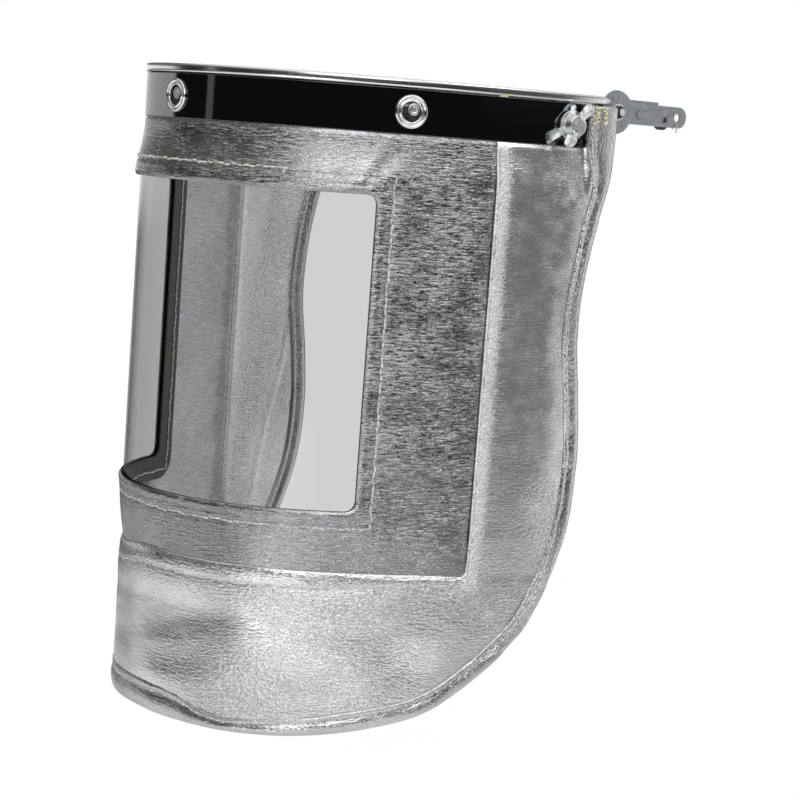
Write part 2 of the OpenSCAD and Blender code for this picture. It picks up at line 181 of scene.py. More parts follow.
def fabric(name, tint=(0.86, 0.865, 0.88), slub=1.0, rough=0.22, weave=1.0, shade_under_strip=False, film=0.97, calm=1.0):
    """aluminised cloth: a metal film over a plain weave whose weft shows as fine level slubs; UVs are in millimetres"""
    m, t = material(name)
    uv = put(t, "ShaderNodeTexCoord").outputs["UV"]
    raw = put(t, "ShaderNodeAttribute", {"attribute_name": "crumple"}).outputs["Fac"]
    crumple = maths(t, "MAXIMUM", raw, 0.0)
    outer_face = ramp(t, raw, -0.8, -0.2, 0.22, 1.0)        # the inner face is smoother
    slubs = stretched(t, uv, (0.13, 0.95, 1), 2.2, 0.50)
    fine = stretched(t, uv, (0.30, 2.1, 1), 2.0, 0.55)
    crinkle = stretched(t, uv, (0.10, 0.12, 1), 3.0, 0.5)
    grit = stretched(t, uv, (0.42, 0.72, 1), 2.5, 0.60)
    patch = stretched(t, uv, (0.022, 0.030, 1), 2.0, 0.5)
    grain = stretched(t, uv, (1.0, 1.5, 1), 1.0, 0.5)
    stirred = maths(t, "MULTIPLY_ADD", crumple, 1.6 * (1 - calm), calm)
    weft = put(t, "ShaderNodeTexWave", {"wave_type": "BANDS", "bands_direction": "DIAGONAL", "wave_profile": "SIN"}, Vector=put(t, "ShaderNodeMapping", Vector=uv, Scale=(0.55, 1, 0)).outputs[0])
    weft.inputs["Scale"].default_value = 0.40
    weft.inputs["Distortion"].default_value = 1.2
    weft.inputs["Detail"].default_value = 2.0
    weft.inputs["Detail Scale"].default_value = 0.4
    where = ramp(t, stretched(t, uv, (0.035, 0.06, 1), 2.0, 0.5), 0.36, 0.64, 0.6, 1.3)
    raised = ramp(t, slubs, 0.49, 0.78, smooth=False)
    height = maths(t, "MULTIPLY", maths(t, "MULTIPLY", raised, 1.5 * slub), where)
    height = maths(t, "MULTIPLY_ADD", maths(t, "MULTIPLY", ramp(t, fine, 0.50, 0.80, smooth=False), where), 0.62 * slub, height)
    height = maths(t, "MULTIPLY_ADD", grain, 0.22 * slub, height)
    height = maths(t, "MULTIPLY", maths(t, "MULTIPLY_ADD", fine, 0.10, height), maths(t, "MULTIPLY", stirred, outer_face))
    height = maths(t, "MULTIPLY_ADD", weft.outputs["Fac"], 0.085 * weave, height)
    height = maths(t, "MULTIPLY_ADD", crinkle, 0.6, height)
    height = maths(t, "MULTIPLY_ADD", grit, maths(t, "MULTIPLY", crumple, 11.0), height)
    bump = put(t, "ShaderNodeBump", Strength=1.0, Distance=0.00012, Height=height)
    shade = ramp(t, slubs, 0.34, 0.66, 1.0 - 0.20 * min(1, slub), 1.0)
    shade = maths(t, "MULTIPLY", shade, ramp(t, fine, 0.3, 0.7, 0.92, 1.03))
    shade = maths(t, "MULTIPLY", shade, ramp(t, grain, 0.3, 0.7, 1.0 - 0.25 * min(1, slub), 1.04))
    shade = maths(t, "MULTIPLY", shade, ramp(t, patch, 0.35, 0.65, 0.93, 1.03))
    if shade_under_strip:                                             # painted shade: the cloth under the strip, seen inside the eyelets, is darkened to 0.12
        level_at = put(t, "ShaderNodeSeparateXYZ", Vector=uv).outputs[1]
        shade = maths(t, "MULTIPLY", shade, ramp(t, level_at, -19.0, -17.5, 1.0, 0.12))
    col = put(t, "ShaderNodeMix", {"data_type": "RGBA", "blend_type": "MULTIPLY"})
    col.inputs["Factor"].default_value = 1.0
    col.inputs["A"].default_value = (*tint, 1)
    grey = put(t, "ShaderNodeCombineColor")
    for i in range(3):
        t.links.new(shade, grey.inputs[i])
    t.links.new(grey.outputs[0], col.inputs["B"])
    r = ramp(t, crinkle, 0.3, 0.7, rough - 0.04, rough + 0.07)
    p = put(t, "ShaderNodeBsdfPrincipled", Base_Color=col.outputs["Result"], Metallic=film, Roughness=r, Normal=bump.outputs[0])
    finish_material(t, p.outputs[0])
    return m


def metal(name, colour, rough, metallic=1.0, grain=(0.9, 0.9, 0.9), bump_strength=0.1, wear=0.1, coat=0.0, grain_scale=1000.0):
    """plated or painted metal with a fine grain; coordinates are object space, in millimetres after scaling"""
    m, t = material(name)
    obj = put(t, "ShaderNodeTexCoord").outputs["Object"]
    mm = put(t, "ShaderNodeMapping", Vector=obj, Scale=(grain_scale,) * 3).outputs[0]
    g1 = stretched(t, mm, grain, 4.0, 0.6)
    g2 = stretched(t, mm, (0.16, 0.16, 0.16), 3.0, 0.5)
    bump = put(t, "ShaderNodeBump", Strength=bump_strength, Distance=0.0001, Height=g1)
    col = put(t, "ShaderNodeMix", {"data_type": "RGBA"})
    t.links.new(ramp(t, g2, 0.3, 0.7), col.inputs["Factor"])
    col.inputs["A"].default_value = (*[c * (1 - wear) for c in colour], 1)
    col.inputs["B"].default_value = (*[min(1, c * (1 + wear)) for c in colour], 1)
    r = ramp(t, g1, 0.25, 0.75, max(0.02, rough - 0.06), rough + 0.08)
    p = put(t, "ShaderNodeBsdfPrincipled", Base_Color=col.outputs["Result"], Metallic=metallic, Roughness=r, Normal=bump.outputs[0])
    p.inputs["Coat Weight"].default_value = coat
    finish_material(t, p.outputs[0])
    return m


def brushed(name):
    """aluminium brushed along its length; UVs are in millimetres along and across"""
    m, t = material(name)
    uv = put(t, "ShaderNodeTexCoord").outputs["UV"]
    lines = stretched(t, uv, (0.012, 4.5, 1), 3.0, 0.65)
    broad = stretched(t, uv, (0.02, 0.5, 1), 2.0, 0.5)
    bump = put(t, "ShaderNodeBump", Strength=0.16, Distance=0.0001, Height=lines)
    shade = maths(t, "MULTIPLY", ramp(t, lines, 0.3, 0.7, 0.82, 0.98), ramp(t, broad, 0.3, 0.7, 0.94, 1.0))
    grey = put(t, "ShaderNodeCombineColor")
    for i in range(3):
        t.links.new(maths(t, "MULTIPLY", shade, (0.93, 0.935, 0.95)[i]), grey.inputs[i])
    p = put(t, "ShaderNodeBsdfPrincipled", Base_Color=grey.outputs[0], Metallic=1.0, Roughness=ramp(t, lines, 0.3, 0.7, 0.10, 0.24), Normal=bump.outputs[0])
    finish_material(t, p.outputs[0])
    return m


def gloss_black(name):
    m, t = material(name)
    uv = put(t, "ShaderNodeTexCoord").outputs["UV"]
    haze = stretched(t, uv, (0.01, 0.3, 1), 3.0, 0.6)
    scratch = stretched(t, uv, (0.05, 6.0, 1), 2.0, 0.7)
    bump = put(t, "ShaderNodeBump", Strength=0.02, Distance=0.0001, Height=scratch)
    p = put(t, "ShaderNodeBsdfPrincipled", Base_Color=(0.0016, 0.0016, 0.0018, 1), Roughness=ramp(t, haze, 0.3, 0.7, 0.03, 0.07), Normal=bump.outputs[0])
    p.inputs["IOR"].default_value = 2.5
    finish_material(t, p.outputs[0])
    return m


def clear(name, through=0.80):
    """thin clear sheet: light passes straight, and the faces shine by the angle"""
    m, t = material(name)
    obj = put(t, "ShaderNodeTexCoord").outputs["Object"]
    smear = stretched(t, put(t, "ShaderNodeMapping", Vector=obj, Scale=(30, 30, 6)).outputs[0], (1, 1, 1), 3.0, 0.6)
    see = put(t, "ShaderNodeBsdfTransparent", Color=(through, through, through * 1.004, 1))
    shine = put(t, "ShaderNodeBsdfAnisotropic", {"distribution": "GGX"}, Color=(0.95, 0.95, 0.96, 1), Roughness=ramp(t, smear, 0.3, 0.7, 0.02, 0.07))
    leaving = put(t, "ShaderNodeNewGeometry").outputs["Backfacing"]
    facing = put(t, "ShaderNodeFresnel", IOR=ramp(t, leaving, 0, 1, 1.25, 1 / 1.25, smooth=False))
    mix = put(t, "ShaderNodeMixShader")
    t.links.new(maths(t, "MULTIPLY", facing.outputs[0], 0.8, clamp=True), mix.inputs[0])
    t.links.new(see.outputs[0], mix.inputs[1])
    t.links.new(shine.outputs[0], mix.inputs[2])
    finish_material(t, mix.outputs[0])
    return m


def plain(name, colour, rough, variation=0.2, scale=3.0, bump_strength=0.25, sheen=0.0):
    m, t = material(name)
    obj = put(t, "ShaderNodeTexCoord").outputs["Object"]
    mm = put(t, "ShaderNodeMapping", Vector=obj, Scale=(1000, 1000, 1000)).outputs[0]
    n = stretched(t, mm, (scale, scale, scale), 3.0, 0.6)
    bump = put(t, "ShaderNodeBump", Strength=bump_strength, Distance=0.00015, Height=n)
    col = put(t, "ShaderNodeMix", {"data_type": "RGBA"})
    t.links.new(ramp(t, n, 0.3, 0.7), col.inputs["Factor"])
    col.inputs["A"].default_value = (*[c * (1 - variation) for c in colour], 1)
    col.inputs["B"].default_value = (*[min(1, c * (1 + variation)) for c in colour], 1)
    p = put(t, "ShaderNodeBsdfPrincipled", Base_Color=col.outputs["Result"], Roughness=rough, Normal=bump.outputs[0])
    p.inputs["Sheen Weight"].default_value = sheen
    finish_material(t, p.outputs[0])
    return m


# panel and skirt carry painted shade on the cloth under the strip, where the eyelets show it
M_PANEL = fabric("aluminised_cloth_panel", tint=(0.50, 0.505, 0.52), slub=1.0, rough=0.15, weave=0.4, shade_under_strip=True)
M_SKIRT = fabric("aluminised_cloth_skirt", slub=0.55, rough=0.18, weave=1.0, shade_under_strip=True, film=0.86, calm=0.28)
M_BIND = fabric("aluminised_tape", tint=(0.66, 0.665, 0.68), slub=0.35, rough=0.20, weave=1.6)
# the facing's near-black tint is painted shade for the inside of the window hem
M_FACING = fabric("aluminised_facing", tint=(0.105, 0.10, 0.095), slub=0.5, rough=0.36)
M_FRAME = brushed("brushed_aluminium")
M_BLACK = gloss_black("black_gloss")
M_PANE = clear("clear_pane")
M_NICKEL = metal("nickel_plate", (0.83, 0.83, 0.84), 0.16, bump_strength=0.12, wear=0.05, grain=(1.2, 1.2, 1.2))
M_ZINC = metal("zinc_plate", (0.74, 0.76, 0.77), 0.27, bump_strength=0.25, wear=0.12, grain=(2.0, 2.0, 2.0))
M_GREY = metal("grey_satin_steel", (0.30, 0.315, 0.335), 0.42, metallic=0.45, bump_strength=0.18, wear=0.10, grain=(0.6, 3.0, 3.0))
M_DARK = metal("black_oxide", (0.045, 0.045, 0.048), 0.34, metallic=0.8, bump_strength=0.3, wear=0.2, grain=(2.0, 2.0, 2.0))
M_RUBBER = plain("black_rubber", (0.018, 0.018, 0.018), 0.62, scale=2.0)
M_THREAD = plain("cream_thread", (0.82, 0.755, 0.66), 0.75, variation=0.40, scale=0.35, bump_strength=0.5, sheen=0.3)
M_TACK = plain("yellow_thread", (0.82, 0.70, 0.40), 0.75, variation=0.35, scale=0.5, bump_strength=0.5, sheen=0.3)

# ------------------------------------------------------------------ plan curve and mapping from the flat cloth to the object
HALF_W, DEPTH, SQUARE, WIDEST = 116.0, 197.5, 2.2, 4.0
_t = np.radians(np.linspace(0, 90, 6001))
_x = HALF_W * np.sin(_t) ** (2 / SQUARE)
_y = -DEPTH * np.abs(np.cos(_t)) ** (2 / SQUARE) - WIDEST
_y[-1] = -WIDEST
_nx = (_x / HALF_W) ** (SQUARE - 1) / HALF_W
_ny = -((-(_y + WIDEST)).clip(0) / DEPTH) ** (SQUARE - 1) / DEPTH
_x = np.append(_x, [HALF_W, HALF_W])
_y = np.append(_y, [10.0, 80.0])
_nx = np.append(_nx, [1, 1])
_ny = np.append(_ny, [0, 0])
_m = np.hypot(_nx, _ny)
_nx, _ny = _nx / _m, _ny / _m
_s = np.concatenate([[0], np.cumsum(np.hypot(np.diff(_x), np.diff(_y)))])


def u_of_y(y):
    return np.interp(y, _y, _s)


def y_of_u(u):
    return np.interp(np.abs(u), _s, _y)


def u_of_t(t):
    return float(np.interp(-DEPTH * math.cos(math.radians(t)) ** (2 / SQUARE) - WIDEST, _y, _s))


def normal_at(u):
    a = np.abs(u)
    nx, ny = np.interp(a, _s, _nx) * np.sign(u), np.interp(a, _s, _ny)
    m = np.hypot(nx, ny)
    return np.stack([nx / m, ny / m, np.zeros_like(nx)], -1)


def place(u, z, o):
    """point of the object for a point (u, z) of the flat cloth, o outside the plan curve"""
    u, z, o = np.broadcast_arrays(np.asarray(u, float), np.asarray(z, float), np.asarray(o, float))
    a = np.abs(u)
    n = normal_at(u)
    x = np.interp(a, _s, _x) * np.sign(u) + o * n[..., 0]
    y = np.interp(a, _s, _y) + o * n[..., 1]
    return np.stack([x, y, z], -1)


def step(x):
    x = np.clip(x, 0, 1)
    return x * x * (3 - 2 * x)


def noise(x, y, seed=0):
    """smooth lattice noise from -1 to 1"""
    x, y = np.asarray(x, float), np.asarray(y, float)
    xi, yi = np.floor(x).astype(np.int64), np.floor(y).astype(np.int64)
    fx, fy = x - xi, y - yi
    fx, fy = fx * fx * fx * (fx * (fx * 6 - 15) + 10), fy * fy * fy * (fy * (fy * 6 - 15) + 10)

    def corner(a, b):
        h = (a * 374761393 + b * 668265263 + seed * 2147483647 + 1013904223) & 0xFFFFFFFF
        h = ((h ^ (h >> 13)) * 1274126177) & 0xFFFFFFFF
        h = ((h ^ (h >> 16)) * 2246822519) & 0xFFFFFFFF
        return (h & 0xFFFF) / 32767.5 - 1

    return (corner(xi, yi) * (1 - fx) * (1 - fy) + corner(xi + 1, yi) * fx * (1 - fy)
            + corner(xi, yi + 1) * (1 - fx) * fy + corner(xi + 1, yi + 1) * fx * fy)


def waves(x, y, seed=0, octaves=3):
    total, amp = 0.0, 1.0
    for k in range(octaves):
        total = total + amp * noise(x * 2 ** k + 17.3 * k, y * 2 ** k - 9.1 * k, seed + k)
        amp *= 0.5
    return total / 1.75


def bell(x):
    return np.exp(-x * x)


def table(points):
    """smooth curve through a few (x, value) pairs"""
    px, pv = [p[0] for p in points], [p[1] for p in points]
    fine = np.linspace(px[0] - 30, px[-1] + 30, 1200)
    v = np.interp(fine, px, pv)
    width = (px[-1] - px[0] + 60) / 1200
    k = max(3, int(3.0 / width) | 1)
    kernel = np.hanning(k + 2)[1:-1]
    kernel /= kernel.sum()
    v = np.convolve(np.pad(v, k // 2, mode="edge"), kernel, "valid")
    return lambda q: np.interp(q, fine, v)


# ------------------------------------------------------------------ outlines on the flat cloth
U_WIN = float(u_of_y(-139.5))
WIN_TOP, WIN_BOTTOM, WIN_R = -51.0, -211.0, 5.0
U_FOLD = float(u_of_y(-79.0))
STRIP_BOTTOM, STRIP_TOP, LIP_TOP = -20.0, 2.5, 7.4
FOLD_AT = [(0, -241.7), (60, -242.0), (110, -242.6), (150, -243.6), (U_FOLD, -245.4), (U_FOLD + 200, -249.0)]


def z_fold(u):
    u = np.asarray(u, float)
    return np.interp(np.abs(u), [p[0] for p in FOLD_AT], [p[1] for p in FOLD_AT]) - 5.0 * step(-u / 45) * step((U_FOLD - 12 + u) / 60)


def window_sdf(u, z):
    """distance outside the window outline, negative inside it"""
    cz, hz = (WIN_TOP + WIN_BOTTOM) / 2, (WIN_TOP - WIN_BOTTOM) / 2
    a, b = np.abs(u) - (U_WIN - WIN_R), np.abs(z - cz) - (hz - WIN_R)
    return np.hypot(np.maximum(a, 0), np.maximum(b, 0)) + np.minimum(np.maximum(a, b), 0) - WIN_R


def fold_sdf(u, z):
    """distance outside the skirt's folded inner edge, into the skirt"""
    a, b = np.abs(u) - U_FOLD, z_fold(u) - z
    return np.hypot(np.maximum(a, 0), np.maximum(b, 0)) + np.minimum(np.maximum(a, b), 0)


RIM = [(-4, 14), (-3.5, -10), (-5, -36), (-12, -62), (-17.5, -90), (-19, -122), (-14.5, -155), (-12, -190),
       (-17, -229), (-34, -267), (-56, -291), (-92, -315), (-130, -325), (-175, -329), (-222, -327)]


def catmull(points, n):
    p = [tuple(2 * a - b for a, b in zip(points[0], points[1]))] + list(points) + [tuple(2 * a - b for a, b in zip(points[-1], points[-2]))]
    p = np.array(p, float)
    out = []
    for i in range(1, len(p) - 2):
        for k in range(n):
            s = k / n
            a, b, c, d = p[i - 1], p[i], p[i + 1], p[i + 2]
            out.append(0.5 * (2 * b + (c - a) * s + (2 * a - 5 * b + 4 * c - d) * s * s + (3 * b - a - 3 * c + d) * s ** 3))
    out.append(p[-2])
    return np.array(out)


def spaced(line, gap, closed=False):
    """the line's points at even spacing"""
    line = np.asarray(line, float)
    if closed:
        line = np.vstack([line, line[:1]])
    d = np.concatenate([[0], np.cumsum(np.linalg.norm(np.diff(line, axis=0), axis=1))])
    n = max(2, int(round(d[-1] / gap)))
    q = np.linspace(0, d[-1], n + 1)
    out = np.stack([np.interp(q, d, line[:, i]) for i in range(line.shape[1])], -1)
    return out[:-1] if closed else out


_rim = catmull(RIM, 24)
_rim = _rim[(_rim[:, 1] < 2.41)]
_uz = [(float(u_of_y(y)), z) for y, z in _rim if y > -201.2]
_front_z = float(np.interp(-201.5, _rim[::-1, 0], _rim[::-1, 1]))
_uz = [p for p in _uz if p[0] > 6] + [(0.0, _front_z)]
_uz[0] = (_uz[0][0], 2.4)
_half = np.array(_uz)                                    # from the left tab's top round to the front
_full = np.vstack([_half, np.stack([-_half[::-1, 0], _half[::-1, 1]], -1)[1:]])
RIM_UZ = spaced(_full, 1.5)
for _ in range(12):                                       # the rim is one fair curve
    RIM_UZ[1:-1] = 0.25 * RIM_UZ[:-2] + 0.5 * RIM_UZ[1:-1] + 0.25 * RIM_UZ[2:]


def line_distance(u, z, line, closed=False):
    """distance to a polyline, and how far along it the nearest place is"""
    line = np.asarray(line, float)
    a = line
    b = np.roll(line, -1, 0) if closed else line[1:]
    if not closed:
        a = line[:-1]
    along = np.concatenate([[0], np.cumsum(np.linalg.norm(b - a, axis=1))])
    p = np.stack([np.ravel(u), np.ravel(z)], -1)
    best, where = np.full(len(p), 1e9), np.zeros(len(p))
    d = b - a
    ll = (d * d).sum(1).clip(1e-12)
    for i in range(0, len(p), 2000):
        q = p[i:i + 2000, None] - a[None]
        s = np.clip((q * d).sum(-1) / ll, 0, 1)
        e = np.linalg.norm(q - s[..., None] * d, axis=-1)
        k = e.argmin(1)
        r = np.arange(len(k))
        best[i:i + 2000] = e[r, k]
        where[i:i + 2000] = along[k] + s[r, k] * np.sqrt(ll[k])
    return best.reshape(np.shape(u)), where.reshape(np.shape(u))


def inside(points, poly):
    x, y = points[:, 0], points[:, 1]
    r = np.zeros(len(points), bool)
    for i in range(len(poly)):
        (x1, y1), (x2, y2) = poly[i - 1], poly[i]
        if y1 != y2:
            r ^= ((y1 > y) != (y2 > y)) & (x < (x2 - x1) * (y - y1) / (y2 - y1) + x1)
    return r


# ------------------------------------------------------------------ mesh helpers
def make(name, verts, faces, mat, body="shield", uv=None, normals=None, smooth=True, crumple=None):
    mesh = bpy.data.meshes.new(name)
    mesh.from_pydata((np.asarray(verts, float) * MM).tolist(), [], [list(f) for f in faces])
    mesh.validate()
    mesh.polygons.foreach_set("use_smooth", [smooth] * len(mesh.polygons))
    if uv is not None:
        layer = mesh.uv_layers.new(name="cloth")
        index = np.zeros(len(mesh.loops), np.int32)
        mesh.loops.foreach_get("vertex_index", index)
        layer.data.foreach_set("uv", np.asarray(uv, np.float32)[index].ravel())
    if crumple is not None:
        mesh.attributes.new("crumple", "FLOAT", "POINT").data.foreach_set("value", np.asarray(crumple, np.float32))
    if normals is not None:
        mesh.normals_split_custom_set_from_vertices(np.asarray(normals, float).tolist())
    mesh.materials.append(mat)
    o = bpy.data.objects.new(name, mesh)
    bpy.context.scene.collection.objects.link(o)
    if body:
        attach(o, body)
    return o


def cloth(name, outer, holes, gaps, top, thick, mat, edge_r=None, exact_normals=False, body="shield", mask=None, smooth_inside=False):
    """closed sheet over a flat outline: outer runs anticlockwise and holes clockwise, top(u, z) is the outer face's offset"""
    loops = [np.asarray(outer, float)] + [np.asarray(h, float) for h in holes]
    r = thick / 2 if edge_r is None else edge_r
    normals2, insets = [], []
    for lo in loops:
        e = np.roll(lo, -1, 0) - lo
        e /= np.linalg.norm(e, axis=1)[:, None].clip(1e-9)
        left = np.stack([-e[:, 1], e[:, 0]], -1)
        n = left + np.roll(left, 1, 0)
        n /= np.linalg.norm(n, axis=1)[:, None].clip(1e-9)
        c = (n * left).sum(1).clip(0.5)
        n = n / c[:, None]
        normals2.append(n)
        insets.append(lo + n * r)
    lo, hi = loops[0].min(0), loops[0].max(0)
    gx, gz = gaps
    xs = np.arange(lo[0] + gx / 2, hi[0], gx)
    zs = np.arange(lo[1] + gz / 2, hi[1], gz)
    grid = np.stack(np.meshgrid(xs, zs), -1)
    grid[1::2, :, 0] += gx / 2
    grid = grid.reshape(-1, 2) + np.random.default_rng(7).uniform(-0.07, 0.07, (xs.size * zs.size, 2)) * (gx, gz)
    keep = inside(grid, insets[0])
    for h in insets[1:]:
        keep &= ~inside(grid, h)
    grid = grid[keep]
    for lp_ in insets:
        d, _ = line_distance(grid[:, 0], grid[:, 1], lp_, closed=True)
        grid = grid[d > 0.55 * min(gx, gz)]
    flat = np.vstack(insets + [grid])
    edges, at = [], 0
    for lp_ in insets:
        n = len(lp_)
        edges += [(at + i, at + (i + 1) % n) for i in range(n)]
        at += n
    cv, _, cf, ov, _, _ = delaunay_2d_cdt([Vector((float(a), float(b))) for a, b in flat], edges, [], 0, 1e-5)
    flat = np.array([(v.x, v.y) for v in cv])
    back_map = {}
    for i, src in enumerate(ov):
        for s_ in src:
            back_map[s_] = i
    tri = np.array(cf, dtype=np.int64)
    mid = flat[tri].mean(1)
    good = inside(mid, insets[0])
    for h in insets[1:]:
        good &= ~inside(mid, h)
    tri = tri[good]
    n = len(flat)
    used = np.zeros(n, bool)
    used[tri.ravel()] = True
    o_top = top(flat[:, 0], flat[:, 1])
    verts = [place(flat[:, 0], flat[:, 1], o_top), place(flat[:, 0], flat[:, 1], o_top - thick)]
    nrm = [normal_at(flat[:, 0]), -normal_at(flat[:, 0])]
    uv = [flat, flat]
    faces = [tuple(f) for f in tri] + [(f[2] + n, f[1] + n, f[0] + n) for f in tri]
    at, base = 0, 2 * n
    for lo_, nn, ins in zip(loops, normals2, insets):
        m = len(lo_)
        first = np.array([back_map[at + i] for i in range(m)])
        rows = [first]
        o_in = top(ins[:, 0], ins[:, 1])
        spec = [(1 - math.sin(a), 1 - math.cos(a), a) for a in (math.pi / 4, math.pi / 2)]
        if thick > 2 * r + 1e-6:
            spec_all = [(k, d * r, a) for k, d, a in spec] + [(k, thick - d * r, math.pi - a) for k, d, a in spec[::-1]]
        else:
            spec_all = [(k, d * r, a) for k, d, a in spec] + [(spec[0][0], thick - spec[0][1] * r, 3 * math.pi / 4)]
        for k, drop, a in spec_all:
            q = lo_ + nn * r * k
            verts.append(place(q[:, 0], q[:, 1], o_in - drop))
            out3 = normal_at(q[:, 0])
            tang = np.stack([-out3[:, 1], out3[:, 0], np.zeros(m)], -1)
            side = -(nn[:, :1] * tang + nn[:, 1:] * np.array([0, 0, 1.0]))
            side /= np.linalg.norm(side, axis=1)[:, None].clip(1e-9)
            nrm.append(math.cos(a) * out3 + math.sin(a) * side)
            uv.append(q)
            rows.append(base + np.arange(m))
            base += m
        rows.append(first + n)
        for r0, r1 in zip(rows[:-1], rows[1:]):
            for i in range(m):
                j = (i + 1) % m
                faces.append((r0[j], r0[i], r1[i], r1[j]))
        at += m
    verts, uv, nrm = np.vstack(verts), np.vstack(uv), np.vstack(nrm)
    alive = np.ones(len(verts), bool)
    alive[:n] = used
    alive[n:2 * n] = used
    renumber = np.cumsum(alive) - 1
    faces = [tuple(int(renumber[v]) for v in f) for f in faces]
    uv = uv[alive]
    hidden = None if mask is None else mask(uv[:, 0], uv[:, 1])
    if smooth_inside:
        hidden[np.arange(len(alive))[alive] // n == 1] = -1.0
    return make(name, verts[alive], faces, mat, body, uv, nrm[alive] if exact_normals else None, crumple=hidden)


def sweep(name, stations, mat, closed_section=True, caps=True, body="shield", uv=None, crumple=None):
    """tube of quads through rings of points; stations is (rings, points, 3)"""
    s = np.asarray(stations, float)
    n, m = s.shape[:2]
    faces = []
    for i in range(n - 1):
        for k in range(m if closed_section else m - 1):
            l = (k + 1) % m
            faces.append((i * m + k, i * m + l, (i + 1) * m + l, (i + 1) * m + k))
    if caps:
        half = m // 2
        for i, flip in ((0, True), (n - 1, False)):
            for k in range(half - 1):
                q = (i * m + k, i * m + k + 1, i * m + m - 2 - k, i * m + m - 1 - k)
                if q[1] == q[2]:
                    q = q[:2] + q[3:]
                faces.append(q[::-1] if flip else q)
    flat_uv = None if uv is None else np.asarray(uv, float).reshape(-1, 2)
    return make(name, s.reshape(-1, 3), faces, mat, body, flat_uv, crumple=crumple)


def fix_normals(o):
    import bmesh

    bm = bmesh.new()
    bm.from_mesh(o.data)
    bmesh.ops.recalc_face_normals(bm, faces=bm.faces)
    bm.to_mesh(o.data)
    bm.free()
    return o


def lathe(name, profile, origin, axis, mat, body="shield", n=72, closed=True):
    """solid of revolution; profile is a loop of (radius, height along the axis)"""
    axis = np.array(axis, float)
    axis /= np.linalg.norm(axis)
    side = np.cross(axis, (0, 0, 1.0))
    side /= np.linalg.norm(side)
    up = np.cross(side, axis)
    rings = []
    for i in range(n):
        a = 2 * math.pi * i / n
        d = math.cos(a) * side + math.sin(a) * up
        rings.append([np.array(origin) + r * d + h * axis for r, h in profile])
    rings = np.array(rings)
    m = len(profile)
    faces = [(i * m + k, i * m + (k + 1) % m, ((i + 1) % n) * m + (k + 1) % m, ((i + 1) % n) * m + k)
             for i in range(n) for k in range(m if closed else m - 1)]
    return fix_normals(make(name, rings.reshape(-1, 3), faces, mat, body))


def bead(points, closed=True, rounds=2):
    """a section's corners rounded by corner cutting"""
    p = np.array(points, float)
    for _ in range(rounds):
        q = np.roll(p, -1, 0)
        p = np.stack([0.75 * p + 0.25 * q, 0.25 * p + 0.75 * q], 1).reshape(-1, 2)
    return p


# ------------------------------------------------------------------ how the cloth hangs
LOW = table([(-60, 2.9), (-20, 2.9), (-8, 2.1), (0, 1.45), (4.2, 1.75), (9, 1.60), (18, 1.55), (32, 1.40), (48, 1.25), (66, 1.0), (84, 0.8), (120, 0.6)])
PANEL_LOW = table([(-60, 1.7), (-18, 1.55), (-9, 1.25), (-1, 0.75), (8, 0.1), (40, 0.1)])
CLOTH = 0.8


def strip_tuck(u, z, below):
    """cloth comes out from between the frame and the strip and swells past the strip's lower edge"""
    y = y_of_u(u)
    under = 0.25 * step((-19.9 - z) / 2.0) + 0.75 * step((-20.5 - z) / 26)
    clear_of_strip = step((y + 22.2) / 1.6)
    return (-0.9 + (below + 0.9) * under) * (1 - clear_of_strip) + below * clear_of_strip


def drape(u, z):
    """slow waves that panel and skirt share, and the long soft fold down the wearer's right side"""
    g = 0.42 * waves(u / 52 + 3.1, z / 60, 11, 2) + 0.28 * waves((u + z) / 34, (u - z) / 70, 21, 2)
    q = u + 224 - (-57 - z) * 0.1875 - 3.0 * np.sin((z + 60) / 34)
    valley = step((3 - q) / 16) * (1 - step((-13 - q) / 12))
    g = g - 3.2 * valley * step((-34 - z) / 26) * step((z + 262) / 30) * step((-u - 150) / 22)
    return g * step((-24 - z) / 22)


def waist(u, z):
    """the front draws in at the bottom seam, mostly to the wearer's right"""
    return -2.3 * bell((u + 30) / 44) * bell((z - z_fold(u) + 1) / 11)


def panel_top(u, z):
    d = window_sdf(u, z)
    zf = z_fold(u)
    over = np.abs(z + 131) - 80
    aside = np.abs(u) - U_WIN
    level = step((over - aside + 8) / 16)                  # 1 above and below the window, 0 beside it
    above = step((z + 60) / 18)
    lip = 0.35 + 0.65 * level + 0.75 * level * above
    o = PANEL_LOW(zf - z) + waist(u, z) + lip * (1 - step(d / 26))
    o += drape(u, z) * step((d - 6) / 18) * step((z - zf + 2) / 16)
    # rolled edge of the turned hem, and the groove along its stitches
    o += 0.45 * step(d / 1.3) * (1 - step((d - 2.2) / 2.6)) - 0.25
    st = 8.5
    o += 0.25 * step(d / 1.5) * (1 - step((d - st + 1.6) / 2.0)) - 0.42 * bell((d - st) / 1.0)
    along = np.where(over < aside, z, u)
    o += 0.20 * noise(along / 2.1, d / 9, 5) * bell((d - st) / 3.6)
    # puckers where the side seam draws the panel in
    e = U_FOLD - np.abs(u)
    o += (0.30 * noise(z / 1.9, e / 12, 31) * bell(e / 8) - 0.30 * bell(e / 4)) * step((-30 - z) / 14) * step((z - zf) / 10)
    # folds that run from the strip to the window's upper rear corners
    q = (np.abs(u) - 106) - 0.71 * (z + 44)
    o += 0.5 * (bell((q + 1) / 4.5) - 0.8 * bell((q - 7) / 5.5)) * step((-22.5 - z) / 5) * step((z + 58) / 22)
    q = (np.abs(u) - 150) - 0.9 * (z + 44)
    o += 0.22 * (bell(q / 5) - 0.8 * bell((q - 9) / 6)) * step((-22.5 - z) / 5) * step((z + 110) / 50)
    return strip_tuck(u, z, o)


_seg_cache = {}


def skirt_base(u, z):
    side = 1 - step((np.abs(u) - U_FOLD - 5) / 62)
    rear = 2.9 + 0.4 * step((np.abs(u) - U_FOLD - 4) / 20)
    low = LOW(z_fold(u) - z)
    return rear + (low - rear) * side - 2.0 * bell((u + 12) / 62) * step((z_fold(u) - z - 4) / 24)


